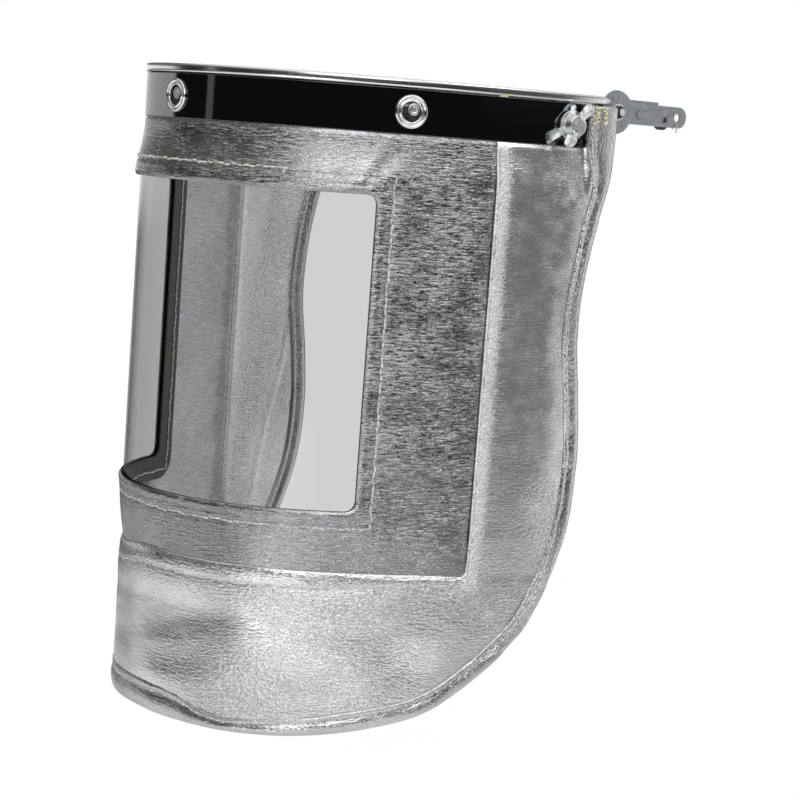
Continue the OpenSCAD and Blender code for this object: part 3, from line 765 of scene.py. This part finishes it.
def skirt_top(u, z):
    d = fold_sdf(u, z)
    n, s = line_distance(u, z, RIM_UZ)
    free = step((n - 8) / 14)
    o = skirt_base(u, z) + waist(u, z) * free
    zf = z_fold(u)
    below = step((zf - z) / 8)
    o += drape(u, z) * free * step(d / 4)
    o -= np.where(np.abs(u) < U_FOLD, 0.50, 0.34) * np.maximum(0, 1 - d / np.where(np.abs(u) < U_FOLD, 3.8, 1.6)) ** 2
    # folded edge, seam groove and the puckers along it
    stitch = stitch_depth(u, z)
    o += np.where(np.abs(u) < U_FOLD, 0.12, 0.30) * step(d / 1.4) * (1 - step((d - stitch + 0.8) / 1.8)) - 0.42 * bell((d - stitch) / 1.0)
    along = np.where(np.abs(u) - U_FOLD > zf - z, z, u)
    level = np.abs(u) < U_FOLD
    o += np.where(level, 0.12, 0.24) * noise(along / 1.5, d / 14, 41) * bell((d - stitch) / 8) * step(d / 2)
    # the lower part is creased and swells over the hem
    creases = waves((u * 0.98 + z * 0.17) / 62 + 0.4, (z * 0.98 - u * 0.17) / 17, 61, 2)
    o += 0.50 * creases * below * free * step((d - 10) / 16) * (1 - 0.6 * step((np.abs(u) - 60) / 60))
    crumple = bell((u - 92) / 42) * bell((z + 306) / 17) + 0.35 * bell((u - 165) / 60) * bell((z + 262) / 12)
    o += 0.30 * waves(u / 4.6, z / 3.6, 71, 2) * below * step((n - 9) / 8) * step((d - 6) / 10) * crumple
    o += 0.30 * waves((u - 218) / 6.5, z / 4.5, 73, 2) * bell((np.abs(u) - 221) / 13) * bell((z + 36) / 16) * step((-23 - z) / 6)
    sag = bell((u - 30) / 40) + 0.75 * bell((u + 58) / 40)
    o += 0.8 * sag * bell((n - 20) / 10) * step((n - 6) / 8)
    o += 0.9 * bell((u - 95) / 30) * bell((n - 15) / 8) * step((n - 6) / 8)
    return strip_tuck(u, z, o)


def panel_mask(u, z):
    d, e, q = window_sdf(u, z), U_FOLD - np.abs(u), z - z_fold(u)
    m = 0.20 * bell((d - 8.5) / 2.0) + 0.30 * bell(e / 4)
    m += 0.22 * bell((u - 62) / 26) * bell((q - 12) / 12) + 0.03
    return m * step((-21 - z) / 4)


def skirt_mask(u, z):
    d = fold_sdf(u, z)
    st = stitch_depth(u, z)
    side = np.abs(u) > U_FOLD
    m = np.where(side, 1.0 * bell((d - 3) / 4.0) + 0.22 * bell((d - 3) / 10), 0.40 * bell((d - st - 3) / 6) + 0.25 * bell(d / 4))
    m += 1.5 * bell((u - 84) / 44) * bell((z + 306) / 18) + 0.35 * bell((u - 120) / 60) * bell((z + 266) / 12)
    m += 0.5 * bell((u - 222) / 18) * bell((z + 212) / 16) + 0.15 * bell((np.abs(u) - 221) / 14) * bell((z + 33) / 14)
    m += 0.40 * bell((u - 196) / 22) * bell((z + 262) / 26)
    q = u + 224 - (-57 - z) * 0.1875
    m += 1.0 * bell((q + 6) / 18) * step((-150 - u) / 20) + 0.07 * step((60 - np.abs(u - 120)) / 40) * step((z_fold(u) - 6 - z) / 8)
    return m * step((-21 - z) / 4)


def bottom_depth(u):
    return 4.2 + 4.8 * (1 - step((np.abs(u) - 90) / (U_FOLD - 90)))


def stitch_depth(u, z):
    """how far inside the folded edge the seam's stitches run"""
    return np.where(np.abs(u) > U_FOLD, 1.8, bottom_depth(u))


def rim_frame():
    t = np.gradient(RIM_UZ, axis=0)
    t /= np.linalg.norm(t, axis=1)[:, None]
    n_in = np.stack([t[:, 1], -t[:, 0]], -1)                 # the path runs down, so inward is to its right
    return t, n_in


RIM_T, RIM_N = rim_frame()
if (RIM_N[len(RIM_N) // 2] @ np.array([0, 1])) < 0:
    RIM_N = -RIM_N


# ------------------------------------------------------------------ window panel
def anticlockwise(p):
    p = np.asarray(p, float)
    q = np.roll(p, -1, 0)
    area = (p[:, 0] * q[:, 1] - q[:, 0] * p[:, 1]).sum()
    return p if area > 0 else p[::-1]


def rounded_window(grow, gap=1.6):
    r, uw, a, b = WIN_R + grow / 2, U_WIN + grow, WIN_TOP + grow, WIN_BOTTOM - grow
    pts = []
    for cx_, cz_, q0 in ((uw - r, a - r, 90), (uw - r, b + r, 0), (-uw + r, b + r, -90), (-uw + r, a - r, -180)):
        for q in range(0, 91, 9):
            w = math.radians(q0 - q)
            pts.append((cx_ + r * math.cos(w), cz_ + r * math.sin(w)))
    return spaced(np.array(pts), gap, closed=True)


def corner_path(points, gap):
    return spaced(np.array(points, float), gap, closed=True)


us = np.linspace(-U_FOLD - 6, U_FOLD + 6, 240)
outline = [(a, z_fold(a) - (6.0 if abs(a) > U_FOLD - 4 else 9.0)) for a in us]
outline += [(U_FOLD + 6, -24.5), (U_FOLD + 0.6, -24.5), (U_FOLD + 0.6, -6), (-U_FOLD - 0.6, -6), (-U_FOLD - 0.6, -24.5), (-U_FOLD - 6, -24.5)]
outline = anticlockwise(corner_path(outline, 1.6))
win_loop = anticlockwise(rounded_window(0.0))[::-1]
panel = cloth("window_panel_cloth", outline, [win_loop], (1.6, 1.15), panel_top, CLOTH, M_PANEL, mask=panel_mask, smooth_inside=True)
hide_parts("window_panel")

# ------------------------------------------------------------------ skirt: both rear sides and the part below the window panel, one cloth
inner = [(U_FOLD, -8)] + [(U_FOLD, z) for z in np.arange(-12, float(z_fold(U_FOLD)) + 3, -2)]
inner += [(U_FOLD - 3 + 3 * math.cos(w), float(z_fold(U_FOLD)) + 3 - 3 * math.sin(w)) for w in np.linspace(0, math.pi / 2, 5)[1:]]
inner += [(a, float(z_fold(a))) for a in np.linspace(U_FOLD - 4, -U_FOLD + 4, 260)]
inner += [(-a, z) for a, z in [(U_FOLD - 3 + 3 * math.sin(w), float(z_fold(U_FOLD)) + 3 - 3 * math.cos(w)) for w in np.linspace(0, math.pi / 2, 5)[:-1]]]
inner += [(-U_FOLD, z) for z in np.arange(float(z_fold(U_FOLD)) + 4, -9, 2)] + [(-U_FOLD, -8)]
edge = RIM_UZ + RIM_N * 1.3
u_end = float(u_of_y(-22.5))
keep = edge[:, 1] < -17
edge = edge[keep]
outer = inner + [(-u_end, -8), (-u_end - 0.8, -16)] + [tuple(p) for p in edge[::-1]] + [(u_end + 0.8, -16), (u_end, -8)]
outer = anticlockwise(corner_path(outer, 1.7))
skirt = cloth("skirt_cloth", outer, [], (1.7, 1.2), skirt_top, CLOTH, M_SKIRT, mask=skirt_mask)
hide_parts("skirt")


# ------------------------------------------------------------------ binding tape round the free edge, with the wide rear tabs
OUTER_SEC = [(10.4, 0.20), (10.25, 0.62), (9.6, 0.98), (8.7, 0.92), (7.8, 0.55), (6.4, 1.05), (4.4, 1.5), (2.4, 1.35), (0.8, 0.6), (-0.1, -0.2), (-0.35, -0.6)]
n_rim = len(RIM_UZ)
rim_s = np.concatenate([[0], np.cumsum(np.linalg.norm(np.diff(RIM_UZ, axis=0), axis=1))])
rim_z = RIM_UZ[:, 1]
border = np.interp(RIM_UZ[:, 0], [-140, -60, 18, 28, 40, 54, 68, 92, 122], [1.0, 1.4, 1.46, 1.30, 0.84, 0.62, 0.70, 0.88, 1.0])
widen = np.where(rim_z < -200, border, 1.0) + 0.88 * step((rim_z + 50) / 34)
tab = step((rim_z + 34) / 18)
rings, ring_uv = [], []
mid_u, mid_z = (RIM_UZ + RIM_N * 6).T
hold = skirt_base(mid_u, mid_z)
front = bell(RIM_UZ[:, 0] / 150) * step((-250 - rim_z) / 40)
pull = 0.55 * waves(rim_s / 21, rim_s * 0, 81, 2)
for i in range(n_rim):
    s = rim_s[i]
    o0 = hold[i]
    sec_o, sec_i = [], []
    for k, (nn, oo) in enumerate(OUTER_SEC):
        w = nn * (widen[i] if nn > 2 else 1)
        crimp = 0.13 * noise(s / 2.6 + nn * 0.35, nn / 6, 91) * (0.25 + 0.75 * bell((nn - 7) / 2.6)) * (1 - 0.6 * tab[i])
        dimple = (0.26 + 0.5 * (RIM_UZ[i, 0] > 60) * bell((rim_z[i] + 285) / 32)) * noise(s / 11.0, nn / 9, 92) * (1 - tab[i])
        shift = pull[i] * (0.4 if nn < 2 else 1.0) * (1 - tab[i])
        top_o = o0 + oo * (1 - 0.45 * tab[i]) + crimp + dimple - 0.1 * tab[i]
        sec_o.append((w + shift, top_o))
        low_o = o0 - 1.2 - oo * (1 - 0.35 * tab[i]) - 0.6 * crimp
        sec_i.append((w + shift * 0.6, min(low_o, top_o - 0.5) if nn > 0 else low_o))
    lap = [(sec_o[-1][0], (sec_o[-1][1] + sec_i[-1][1]) / 2)]
    outside = sec_o[:-1] + lap + sec_i[:-1][::-1]
    inside_ = []
    for k, (a, b) in enumerate(outside):
        mid_o = o0 - 0.6
        toward = 0.55
        if b >= mid_o:
            inside_.append((max(a, 0.75) if k > 8 else a, max(b - toward, mid_o + 0.02)))
        else:
            inside_.append((max(a, 0.75) if k < len(outside) - 9 else a, min(b + toward, mid_o - 0.02)))
    section = outside + inside_[::-1]
    pts = np.array(section)
    uz = RIM_UZ[i] + RIM_N[i] * pts[:, :1]
    rings.append(place(uz[:, 0], uz[:, 1], pts[:, 1]))
    dist = np.concatenate([[0], np.cumsum(np.linalg.norm(np.diff(pts, axis=0), axis=1))])
    ring_uv.append(np.stack([dist, np.full(len(pts), s)], -1) if False else np.stack([np.full(len(pts), s), dist], -1))
tape_mask = 0.20 + 0.10 * tab + 0.6 * bell((rim_z + 262) / 30) * (RIM_UZ[:, 0] > 0) + 0.3 * bell((rim_z + 110) / 40)
binding = fix_normals(sweep("edge_binding_tape", rings, M_BIND, uv=ring_uv, crumple=np.repeat(tape_mask, len(rings[0]))))
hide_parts("edge_binding")

# ------------------------------------------------------------------ facing round the window, inside
face_out = anticlockwise(rounded_window(14.0, 2.0))
face_in = anticlockwise(rounded_window(0.3, 2.0))[::-1]


def facing_top(u, z):
    d = window_sdf(u, z)
    return -0.45 + 0.12 * noise(u / 3 + z / 4, z / 3, 3) * step(d / 3) - 0.25 * bell((d - 8.5) / 1.0)


facing = cloth("window_facing_tape", face_out, [face_in], (2.0, 2.0), facing_top, 1.1, M_FACING)
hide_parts("window_facing")

# ------------------------------------------------------------------ clear pane
pane_loop = anticlockwise(rounded_window(6.5, 2.0))
pane = cloth("window_pane_sheet", pane_loop, [], (2.0, 4.0), lambda u, z: 0.6 + 0.0 * u, 0.8, M_PANE, edge_r=0.2, exact_normals=True)
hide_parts("window_pane")

# ------------------------------------------------------------------ retaining strip, with its three eyelet holes
EYELETS = [(0.0, -8.75), (u_of_t(53.9), -8.75), (-u_of_t(53.9), -8.75)]
u_strip = float(u_of_y(-21.5))
strip_loop = anticlockwise(corner_path([(-u_strip, STRIP_BOTTOM), (u_strip, STRIP_BOTTOM), (u_strip, STRIP_TOP), (-u_strip, STRIP_TOP)], 1.4))
hole_loops = [np.array([(a + 5.9 * math.cos(w), b + 5.9 * math.sin(w)) for w in np.linspace(2 * math.pi, 0, 40, endpoint=False)]) for a, b in EYELETS]
strip = cloth("black_strip", strip_loop, hole_loops, (1.6, 1.8), lambda u, z: 0.0 * u, 0.8, M_BLACK, edge_r=0.25, exact_normals=True)
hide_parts("retaining_strip")

# ------------------------------------------------------------------ aluminium frame: band, rolled lip and ears
u_wall = float(u_of_y(-3.2))
stations = np.linspace(-u_wall, u_wall, 420)
wall, wall_uv = [], []
for a in stations:
    y = float(y_of_u(a))
    zb = -20.0 if y < -15 else -20 + (y + 15) / 12 * 11.5
    sec = np.array([(-3.5, zb + 0.3), (-3.5, 3.8), (-2.3, 3.8), (-2.3, zb + 0.3), (-2.5, zb), (-3.3, zb)])
    wall.append(place(np.full(6, a), sec[:, 1], sec[:, 0]))
    wall_uv.append([(a, v[1] + v[0]) for v in sec])
wall_piece = fix_normals(sweep("visor_band", wall, M_FRAME, uv=wall_uv))
lip_sec = bead([(-3.5, 3.1), (-2.0, 3.1), (-0.2, 3.15), (0.6, 3.3), (0.62, 5.0), (0.6, 6.9), (0.0, 7.4), (-1.8, 7.4), (-3.2, 7.3), (-3.5, 6.6), (-3.5, 4.6)], rounds=1)
u_lip = float(u_of_y(-7.0))
stations = np.concatenate([np.linspace(-u_lip, -u_lip + 6, 10)[:-1], np.linspace(-u_lip + 6, u_lip - 6, 420), np.linspace(u_lip - 6, u_lip, 10)[1:]])
lip, lip_uv = [], []
for a in stations:
    e = step((u_lip - abs(a)) / 5.2) ** 0.5
    sec = lip_sec.copy()
    sec[:, 0] = 0.35 + (sec[:, 0] - 0.35) * (0.12 + 0.88 * e)
    sec[:, 1] = 5.2 + (sec[:, 1] - 5.2) * (0.35 + 0.65 * e)
    lip.append(place(np.full(len(sec), a), sec[:, 1], sec[:, 0]))
    d = np.concatenate([[0], np.cumsum(np.linalg.norm(np.diff(sec, axis=0), axis=1))])
    lip_uv.append(np.stack([np.full(len(sec), a), d], -1))
lip_piece = fix_normals(sweep("visor_lip", lip, M_FRAME, uv=lip_uv))
ear_profile = [(0.0, -0.0), (8.7, 0.0), (9.0, 0.3), (9.0, 0.9), (8.7, 1.2), (0.0, 1.2)]
ears = []
for side, tag in ((1, "left"), (-1, "right")):
    prof = [(2.1, 0.0), (8.7, 0.0), (9.0, 0.3), (9.0, 0.9), (8.7, 1.2), (2.1, 1.2)]
    ears.append(lathe(f"{tag}_ear", prof, (side * 112.5, 0, 0), (side, 0, 0), M_FRAME, n=96))
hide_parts("visor_frame")
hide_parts("visor_frame")
for e_ in ears:
    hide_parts("visor_frame")

# ------------------------------------------------------------------ eyelets
EYE = [(5.0, -2.1), (5.0, 0.35), (5.06, 0.75), (5.25, 1.05), (5.6, 1.18), (5.95, 1.05), (6.15, 0.72), (6.4, 0.52), (6.7, 0.62), (7.0, 0.98),
       (7.4, 1.24), (7.85, 1.22), (8.25, 0.95), (8.45, 0.5), (8.5, 0.12), (8.42, 0.02), (5.85, 0.02), (5.8, -0.2), (5.8, -2.1)]
for tag, (a, b) in zip(("front", "left", "right"), EYELETS):
    at = place(a, b, 0.0)
    e_ = lathe(f"{tag}_eyelet_ring", EYE, at, normal_at(np.array([a]))[0], M_NICKEL, n=96)
    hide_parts(f"{tag}_eyelet")


# ------------------------------------------------------------------ stitches
def stitches(name, path, top, mat, pitch=3.3, length=3.0, r=0.44, lift=0.15, face=1, jitter=0.34, seed=1, body="shield"):
    """a row of thread stitches along a path on the flat cloth, lying on the outer face (1) or the inner face (-1)"""
    path = np.asarray(path, float)
    d = np.concatenate([[0], np.cumsum(np.linalg.norm(np.diff(path, axis=0), axis=1))])
    count = int(d[-1] // pitch)
    start = (d[-1] - count * pitch) / 2 + (pitch - length) / 2
    shape = [(-0.5, 0.45, -0.35), (-0.40, 0.85, -0.05), (-0.2, 1.0, 0.05), (0.2, 1.0, 0.05), (0.40, 0.85, -0.05), (0.5, 0.45, -0.35)]
    s = start + np.arange(count) * pitch
    k = np.arange(count)
    off_side = jitter * noise(k * 1.7, k * 0.3, 100 + seed) * 1.4
    turn = 0.5 * jitter * noise(k * 2.3, k * 0.7, 200 + seed)
    verts, faces = [], []
    m = 6
    qs = []
    for f, _, _ in shape:
        q = s + length * (0.5 + f)
        p = np.stack([np.interp(q, d, path[:, 0]), np.interp(q, d, path[:, 1])], -1)
        a = np.stack([np.interp(q + 0.4, d, path[:, 0]), np.interp(q + 0.4, d, path[:, 1])], -1) - np.stack([np.interp(q - 0.4, d, path[:, 0]), np.interp(q - 0.4, d, path[:, 1])], -1)
        a /= np.linalg.norm(a, axis=1)[:, None].clip(1e-9)
        p = p + np.stack([-a[:, 1], a[:, 0]], -1) * (off_side + turn * f * 4)[:, None]
        qs.append(p)
    qs = np.array(qs)                                      # (rings, stitches, 2)
    o = top(qs[..., 0].ravel(), qs[..., 1].ravel()).reshape(qs.shape[:2])
    drop = np.array([x[2] for x in shape])[:, None]
    centre = place(qs[..., 0], qs[..., 1], o + face * (lift + drop))
    nrm = normal_at(qs[..., 0].ravel()).reshape(centre.shape)
    tan = np.gradient(centre, axis=0)
    tan /= np.linalg.norm(tan, axis=-1)[..., None].clip(1e-9)
    side = np.cross(tan, nrm)
    side /= np.linalg.norm(side, axis=-1)[..., None].clip(1e-9)
    up = np.cross(side, tan)
    rr = (r * np.array([x[1] for x in shape]))[:, None, None]
    ang = np.arange(m) * 2 * math.pi / m
    pts = centre[:, :, None] + rr[..., None] * (np.cos(ang)[None, None, :, None] * side[:, :, None] + np.sin(ang)[None, None, :, None] * up[:, :, None])
    pts = pts.transpose(1, 0, 2, 3).reshape(-1, 3)         # stitch, ring, point
    n = len(shape)
    for c in range(count):
        b = c * n * m
        for i in range(n - 1):
            for j in range(m):
                l = (j + 1) % m
                faces.append((b + i * m + j, b + i * m + l, b + (i + 1) * m + l, b + (i + 1) * m + j))
        faces.append(tuple(b + j for j in range(m))[::-1])
        faces.append(tuple(b + (n - 1) * m + j for j in range(m)))
    return fix_normals(make(name, pts, faces, mat, body))


def below(top, depth):
    return lambda u, z: top(u, z) - depth


SW, ST, SB = U_WIN + 8.5, WIN_TOP + 10.2, WIN_BOTTOM - 8.7
for tag, a, b in (("top", (-SW - 1, ST), (SW + 1, ST)), ("left", (SW, ST - 0.5), (SW, SB - 0.5)), ("bottom", (SW + 0.5, SB), (-SW - 0.5, SB)), ("right", (-SW, SB), (-SW, ST))):
    path = spaced(np.array([a, b], float), 1.0)
    stitches(f"window_stitches_{tag}", path, panel_top, M_THREAD, seed=ord(tag[0]), r=0.5, lift=0.2)
    stitches(f"window_stitches_{tag}_inside", path, below(facing_top, 1.1), M_THREAD, face=-1, seed=ord(tag[0]) + 1)

seam = [(U_FOLD + 1.8, z) for z in np.arange(-21.5, float(z_fold(U_FOLD)) - 3.4, -1)]
bottom_line = [(a, float(z_fold(a) - bottom_depth(a))) for a in np.linspace(U_FOLD + 1.2, -U_FOLD - 1.2, 360)]
seam_path = spaced(np.array(seam + bottom_line + [(-a, z) for a, z in seam[::-1]]), 1.0)
stitches("seam_stitches", seam_path, skirt_top, M_THREAD, seed=4, r=0.46, lift=0.18)


def seam_inner(u, z):
    return np.minimum(panel_top(u, z), 9) - CLOTH


stitches("seam_stitches_inside", seam_path, seam_inner, M_THREAD, face=-1, seed=5, r=0.28)

def binding_line(n0):
    w = n0 * widen + pull * (1 - tab)
    return RIM_UZ + RIM_N * w[:, None]


def binding_face(kind, n0):
    """offset of the tape's outer (1) or inner (-1) face where a stitch line runs"""
    oo = np.interp(n0, [p[0] for p in OUTER_SEC][::-1], [p[1] for p in OUTER_SEC][::-1])
    crimp = 0.13 * noise(rim_s / 2.6 + n0 * 0.35, np.full(n_rim, n0 / 6), 91) * (0.25 + 0.75 * bell((n0 - 7) / 2.6)) * (1 - 0.6 * tab)
    dimple = (0.26 + 0.5 * (RIM_UZ[:, 0] > 60) * bell((rim_z + 285) / 32)) * noise(rim_s / 11.0, np.full(n_rim, n0 / 9), 92) * (1 - tab)
    out = hold + oo * (1 - 0.45 * tab) + crimp + dimple - 0.1 * tab
    inn = hold - 1.2 - oo * (1 - 0.35 * tab) - 0.6 * crimp
    return out if kind > 0 else inn


def on_binding(kind, n0):
    values = binding_face(kind, n0)
    line = binding_line(n0)

    def f(u, z):
        _, s_ = line_distance(u, z, line)
        d_ = np.concatenate([[0], np.cumsum(np.linalg.norm(np.diff(line, axis=0), axis=1))])
        return np.interp(s_, d_, values)

    return f


stitches("binding_stitches", binding_line(7.8), on_binding(1, 7.8), M_THREAD, seed=6, r=0.33, lift=0.16, pitch=3.0, length=2.5)
stitches("binding_stitches_inside", binding_line(7.8), on_binding(-1, 7.8), M_THREAD, seed=7, face=-1, r=0.27, lift=0.16, pitch=3.0, length=2.3)
upper = rim_z > -175
for side, tag in ((1, "left"), (-1, "right")):
    pick = upper & (np.sign(RIM_UZ[:, 0]) == side)
    line = binding_line(9.6)[pick]
    stitches(f"{tag}_second_row", line, on_binding(1, 9.6), M_THREAD, seed=8 + side, r=0.24, lift=0.12, pitch=3.0, length=2.3)


# ------------------------------------------------------------------ bartacks: dense zigzags of yellow thread
def bartack(name, centre, half_u, half_z, offset, rows, seed, r=0.24):
    rng = np.random.default_rng(seed)
    verts, faces = [], []
    m = 6
    for k in range(rows):
        zz = centre[1] + half_z * (1 - 2 * (k + 0.5) / rows) + rng.uniform(-0.7, 0.7)
        a = centre[0] - half_u * rng.uniform(0.45, 1.15)
        b = centre[0] + half_u * rng.uniform(0.45, 1.15)
        q = np.linspace(0, 1, 7)
        uu = a + (b - a) * q
        zl = zz + (rng.uniform(-2.6, 2.6)) * (q - 0.5)
        oo = offset + 0.15 + 0.32 * np.sin(np.pi * q) - 0.35 * (np.abs(q - 0.5) > 0.45)
        c = place(uu, zl, oo)
        nrm = normal_at(uu)
        tan = np.gradient(c, axis=0)
        tan /= np.linalg.norm(tan, axis=1)[:, None]
        sd = np.cross(tan, nrm)
        sd /= np.linalg.norm(sd, axis=1)[:, None]
        up = np.cross(sd, tan)
        base = len(verts)
        for i in range(7):
            for j in range(m):
                w = j * 2 * math.pi / m
                verts.append(c[i] + r * (math.cos(w) * sd[i] + math.sin(w) * up[i]))
        for i in range(6):
            for j in range(m):
                l = (j + 1) % m
                faces.append((base + i * m + j, base + i * m + l, base + (i + 1) * m + l, base + (i + 1) * m + j))
        faces.append(tuple(base + j for j in range(m))[::-1])
        faces.append(tuple(base + 6 * m + j for j in range(m)))
    return fix_normals(make(name, verts, faces, M_TACK))


for side, tag in ((1, "left"), (-1, "right")):
    u_tab = float(u_of_y(-15.5)) * side
    bartack(f"{tag}_tab_tack_front", (u_tab - side * 3.2, -2.6), 1.7, 4.8, 3.7, 12, 11 + side, r=0.34)
    bartack(f"{tag}_tab_tack_rear", (u_tab + side * 2.6, -2.9), 1.6, 4.6, 3.7, 11, 21 + side, r=0.34)
    bartack(f"{tag}_seam_tack", (side * (U_FOLD + 1.6), 2.9), 2.8, 0.6, 0.75, 4, 31 + side, r=0.24)


def fray(name, path, top, count, reach, seed, r=0.16):
    """short loose ends of thread along a raw edge"""
    rng = np.random.default_rng(seed)
    path = np.asarray(path, float)
    d = np.concatenate([[0], np.cumsum(np.linalg.norm(np.diff(path, axis=0), axis=1))])
    verts, faces, m = [], [], 5
    for k in range(count):
        q = rng.uniform(0, d[-1])
        a = np.array([np.interp(q, d, path[:, 0]), np.interp(q, d, path[:, 1])])
        t = np.linspace(0, 1, 5)
        w = rng.uniform(-0.6, 0.6)
        l = reach * rng.uniform(0.5, 1.3)
        sign = np.sign(path[0, 0])
        uu = a[0] + sign * (0.8 - l * t)
        zz = a[1] + l * w * t + rng.uniform(-0.5, 0.5) * t * t
        oo = top(np.full(5, a[0]), np.full(5, a[1])) + 0.1 + 0.5 * np.sin(np.pi * t * rng.uniform(0.6, 1.0)) * rng.uniform(0.2, 1.0)
        c = place(uu, zz, oo)
        nrm = normal_at(uu)
        tan = np.gradient(c, axis=0)
        tan /= np.linalg.norm(tan, axis=1)[:, None].clip(1e-9)
        sd = np.cross(tan, nrm)
        sd /= np.linalg.norm(sd, axis=1)[:, None].clip(1e-9)
        up = np.cross(sd, tan)
        base = len(verts)
        for i in range(5):
            for j in range(m):
                g = j * 2 * math.pi / m
                verts.append(c[i] + r * (1 - 0.5 * t[i]) * (math.cos(g) * sd[i] + math.sin(g) * up[i]))
        for i in range(4):
            for j in range(m):
                l2 = (j + 1) % m
                faces.append((base + i * m + j, base + i * m + l2, base + (i + 1) * m + l2, base + (i + 1) * m + j))
        faces.append(tuple(base + j for j in range(m))[::-1])
        faces.append(tuple(base + 4 * m + j for j in range(m)))
    return fix_normals(make(name, verts, faces, M_THREAD))


for side, tag in ((1, "left"), (-1, "right")):
    pick = (rim_z > -62) & (np.sign(RIM_UZ[:, 0]) == side)
    line = binding_line(10.2)[pick]
    fray(f"{tag}_tab_fray", line, on_binding(1, 9.6), 90, 1.9, 51 + side)

# ------------------------------------------------------------------ hardware that keeps its CAD shape
SLOT_MATERIAL = {"zinc_hardware": M_ZINC, "nickel_eyelet": M_NICKEL, "grey_steel": M_GREY, "dark_steel": M_DARK, "black_rubber": M_RUBBER,
                 "polished_aluminium": M_FRAME, "black_strip": M_BLACK, "clear_pane": M_PANE, "aluminised_fabric": M_PANEL}
BEVEL = {"hat_arm": 0.18, "arm_backing": 0.18, "hinge_disc": 0.10, "wing_nut": 0.0, "stud": 0.35, "clamp_screw": 0.35, "clamp_keeper": 0.28,
         "flat_washer": 0.22, "lock_washer": 0.18, "pivot_screw": 0.3, "spring_washer": 0.2, "pivot_washer": 0.14, "pivot_nut": 0.25,
         "arm_rivet": 0.28, "hat_pad": 0.5, "retaining_clip": 0.0}
slot_of = {s["node"]: s.get("material_slot") for s in frame["record"]["subparts"]}
for name, o in frame["nodes"].items():
    if o.hide_render:
        continue
    kind = name.split("_", 1)[1] if name.split("_", 1)[0] in ("left", "right", "front") else name
    o.data.materials.clear()
    o.data.materials.append(SLOT_MATERIAL[slot_of[name]])
    o.data.polygons.foreach_set("material_index", [0] * len(o.data.polygons))
    o.data.polygons.foreach_set("use_smooth", [True] * len(o.data.polygons))
    weld = o.modifiers.new("weld", "WELD")
    weld.merge_threshold = 0.00002
    if kind == "wing_nut":
        rm = o.modifiers.new("cast", "REMESH")
        rm.mode = "VOXEL"
        rm.voxel_size = 0.00032
        rm.use_smooth_shade = True
        sm = o.modifiers.new("soften", "SMOOTH")
        sm.factor = 0.5
        sm.iterations = 5
    elif BEVEL.get(kind, 0.15) > 0:
        bv = o.modifiers.new("edges", "BEVEL")
        bv.width = BEVEL.get(kind, 0.15) * MM
        bv.segments = 2
        bv.limit_method = "ANGLE"
        bv.angle_limit = math.radians(35)
        bv.harden_normals = False
        wn = o.modifiers.new("normals", "WEIGHTED_NORMAL")
        wn.keep_sharp = True

# ------------------------------------------------------------------ floor
floor_m, ft = material("pale_floor")
grain = stretched(ft, put(ft, "ShaderNodeTexCoord").outputs["Object"], (2, 2, 2), 3.0, 0.5)
# plain white to the camera; other rays go on to the studio painted in the world, whose lower half stands for the floor
fe = put(ft, "ShaderNodeEmission", Color=(1, 1, 1, 1), Strength=ramp(ft, grain, 0.0, 1.0, 0.99, 1.01))
ftr = put(ft, "ShaderNodeBsdfTransparent")
fa = put(ft, "ShaderNodeMixShader")
ft.links.new(put(ft, "ShaderNodeLightPath").outputs["Is Camera Ray"], fa.inputs[0])
ft.links.new(ftr.outputs[0], fa.inputs[1])
ft.links.new(fe.outputs[0], fa.inputs[2])
finish_material(ft, fa.outputs[0])
fm = bpy.data.meshes.new("floor")
ring = [(2.6 * math.cos(a), 2.6 * math.sin(a), -0.80) for a in np.linspace(0, 2 * math.pi, 96, endpoint=False)]
fm.from_pydata(ring, [], [list(range(96))])
fm.materials.append(floor_m)
floor = bpy.data.objects.new("floor", fm)
bpy.context.scene.collection.objects.link(floor)
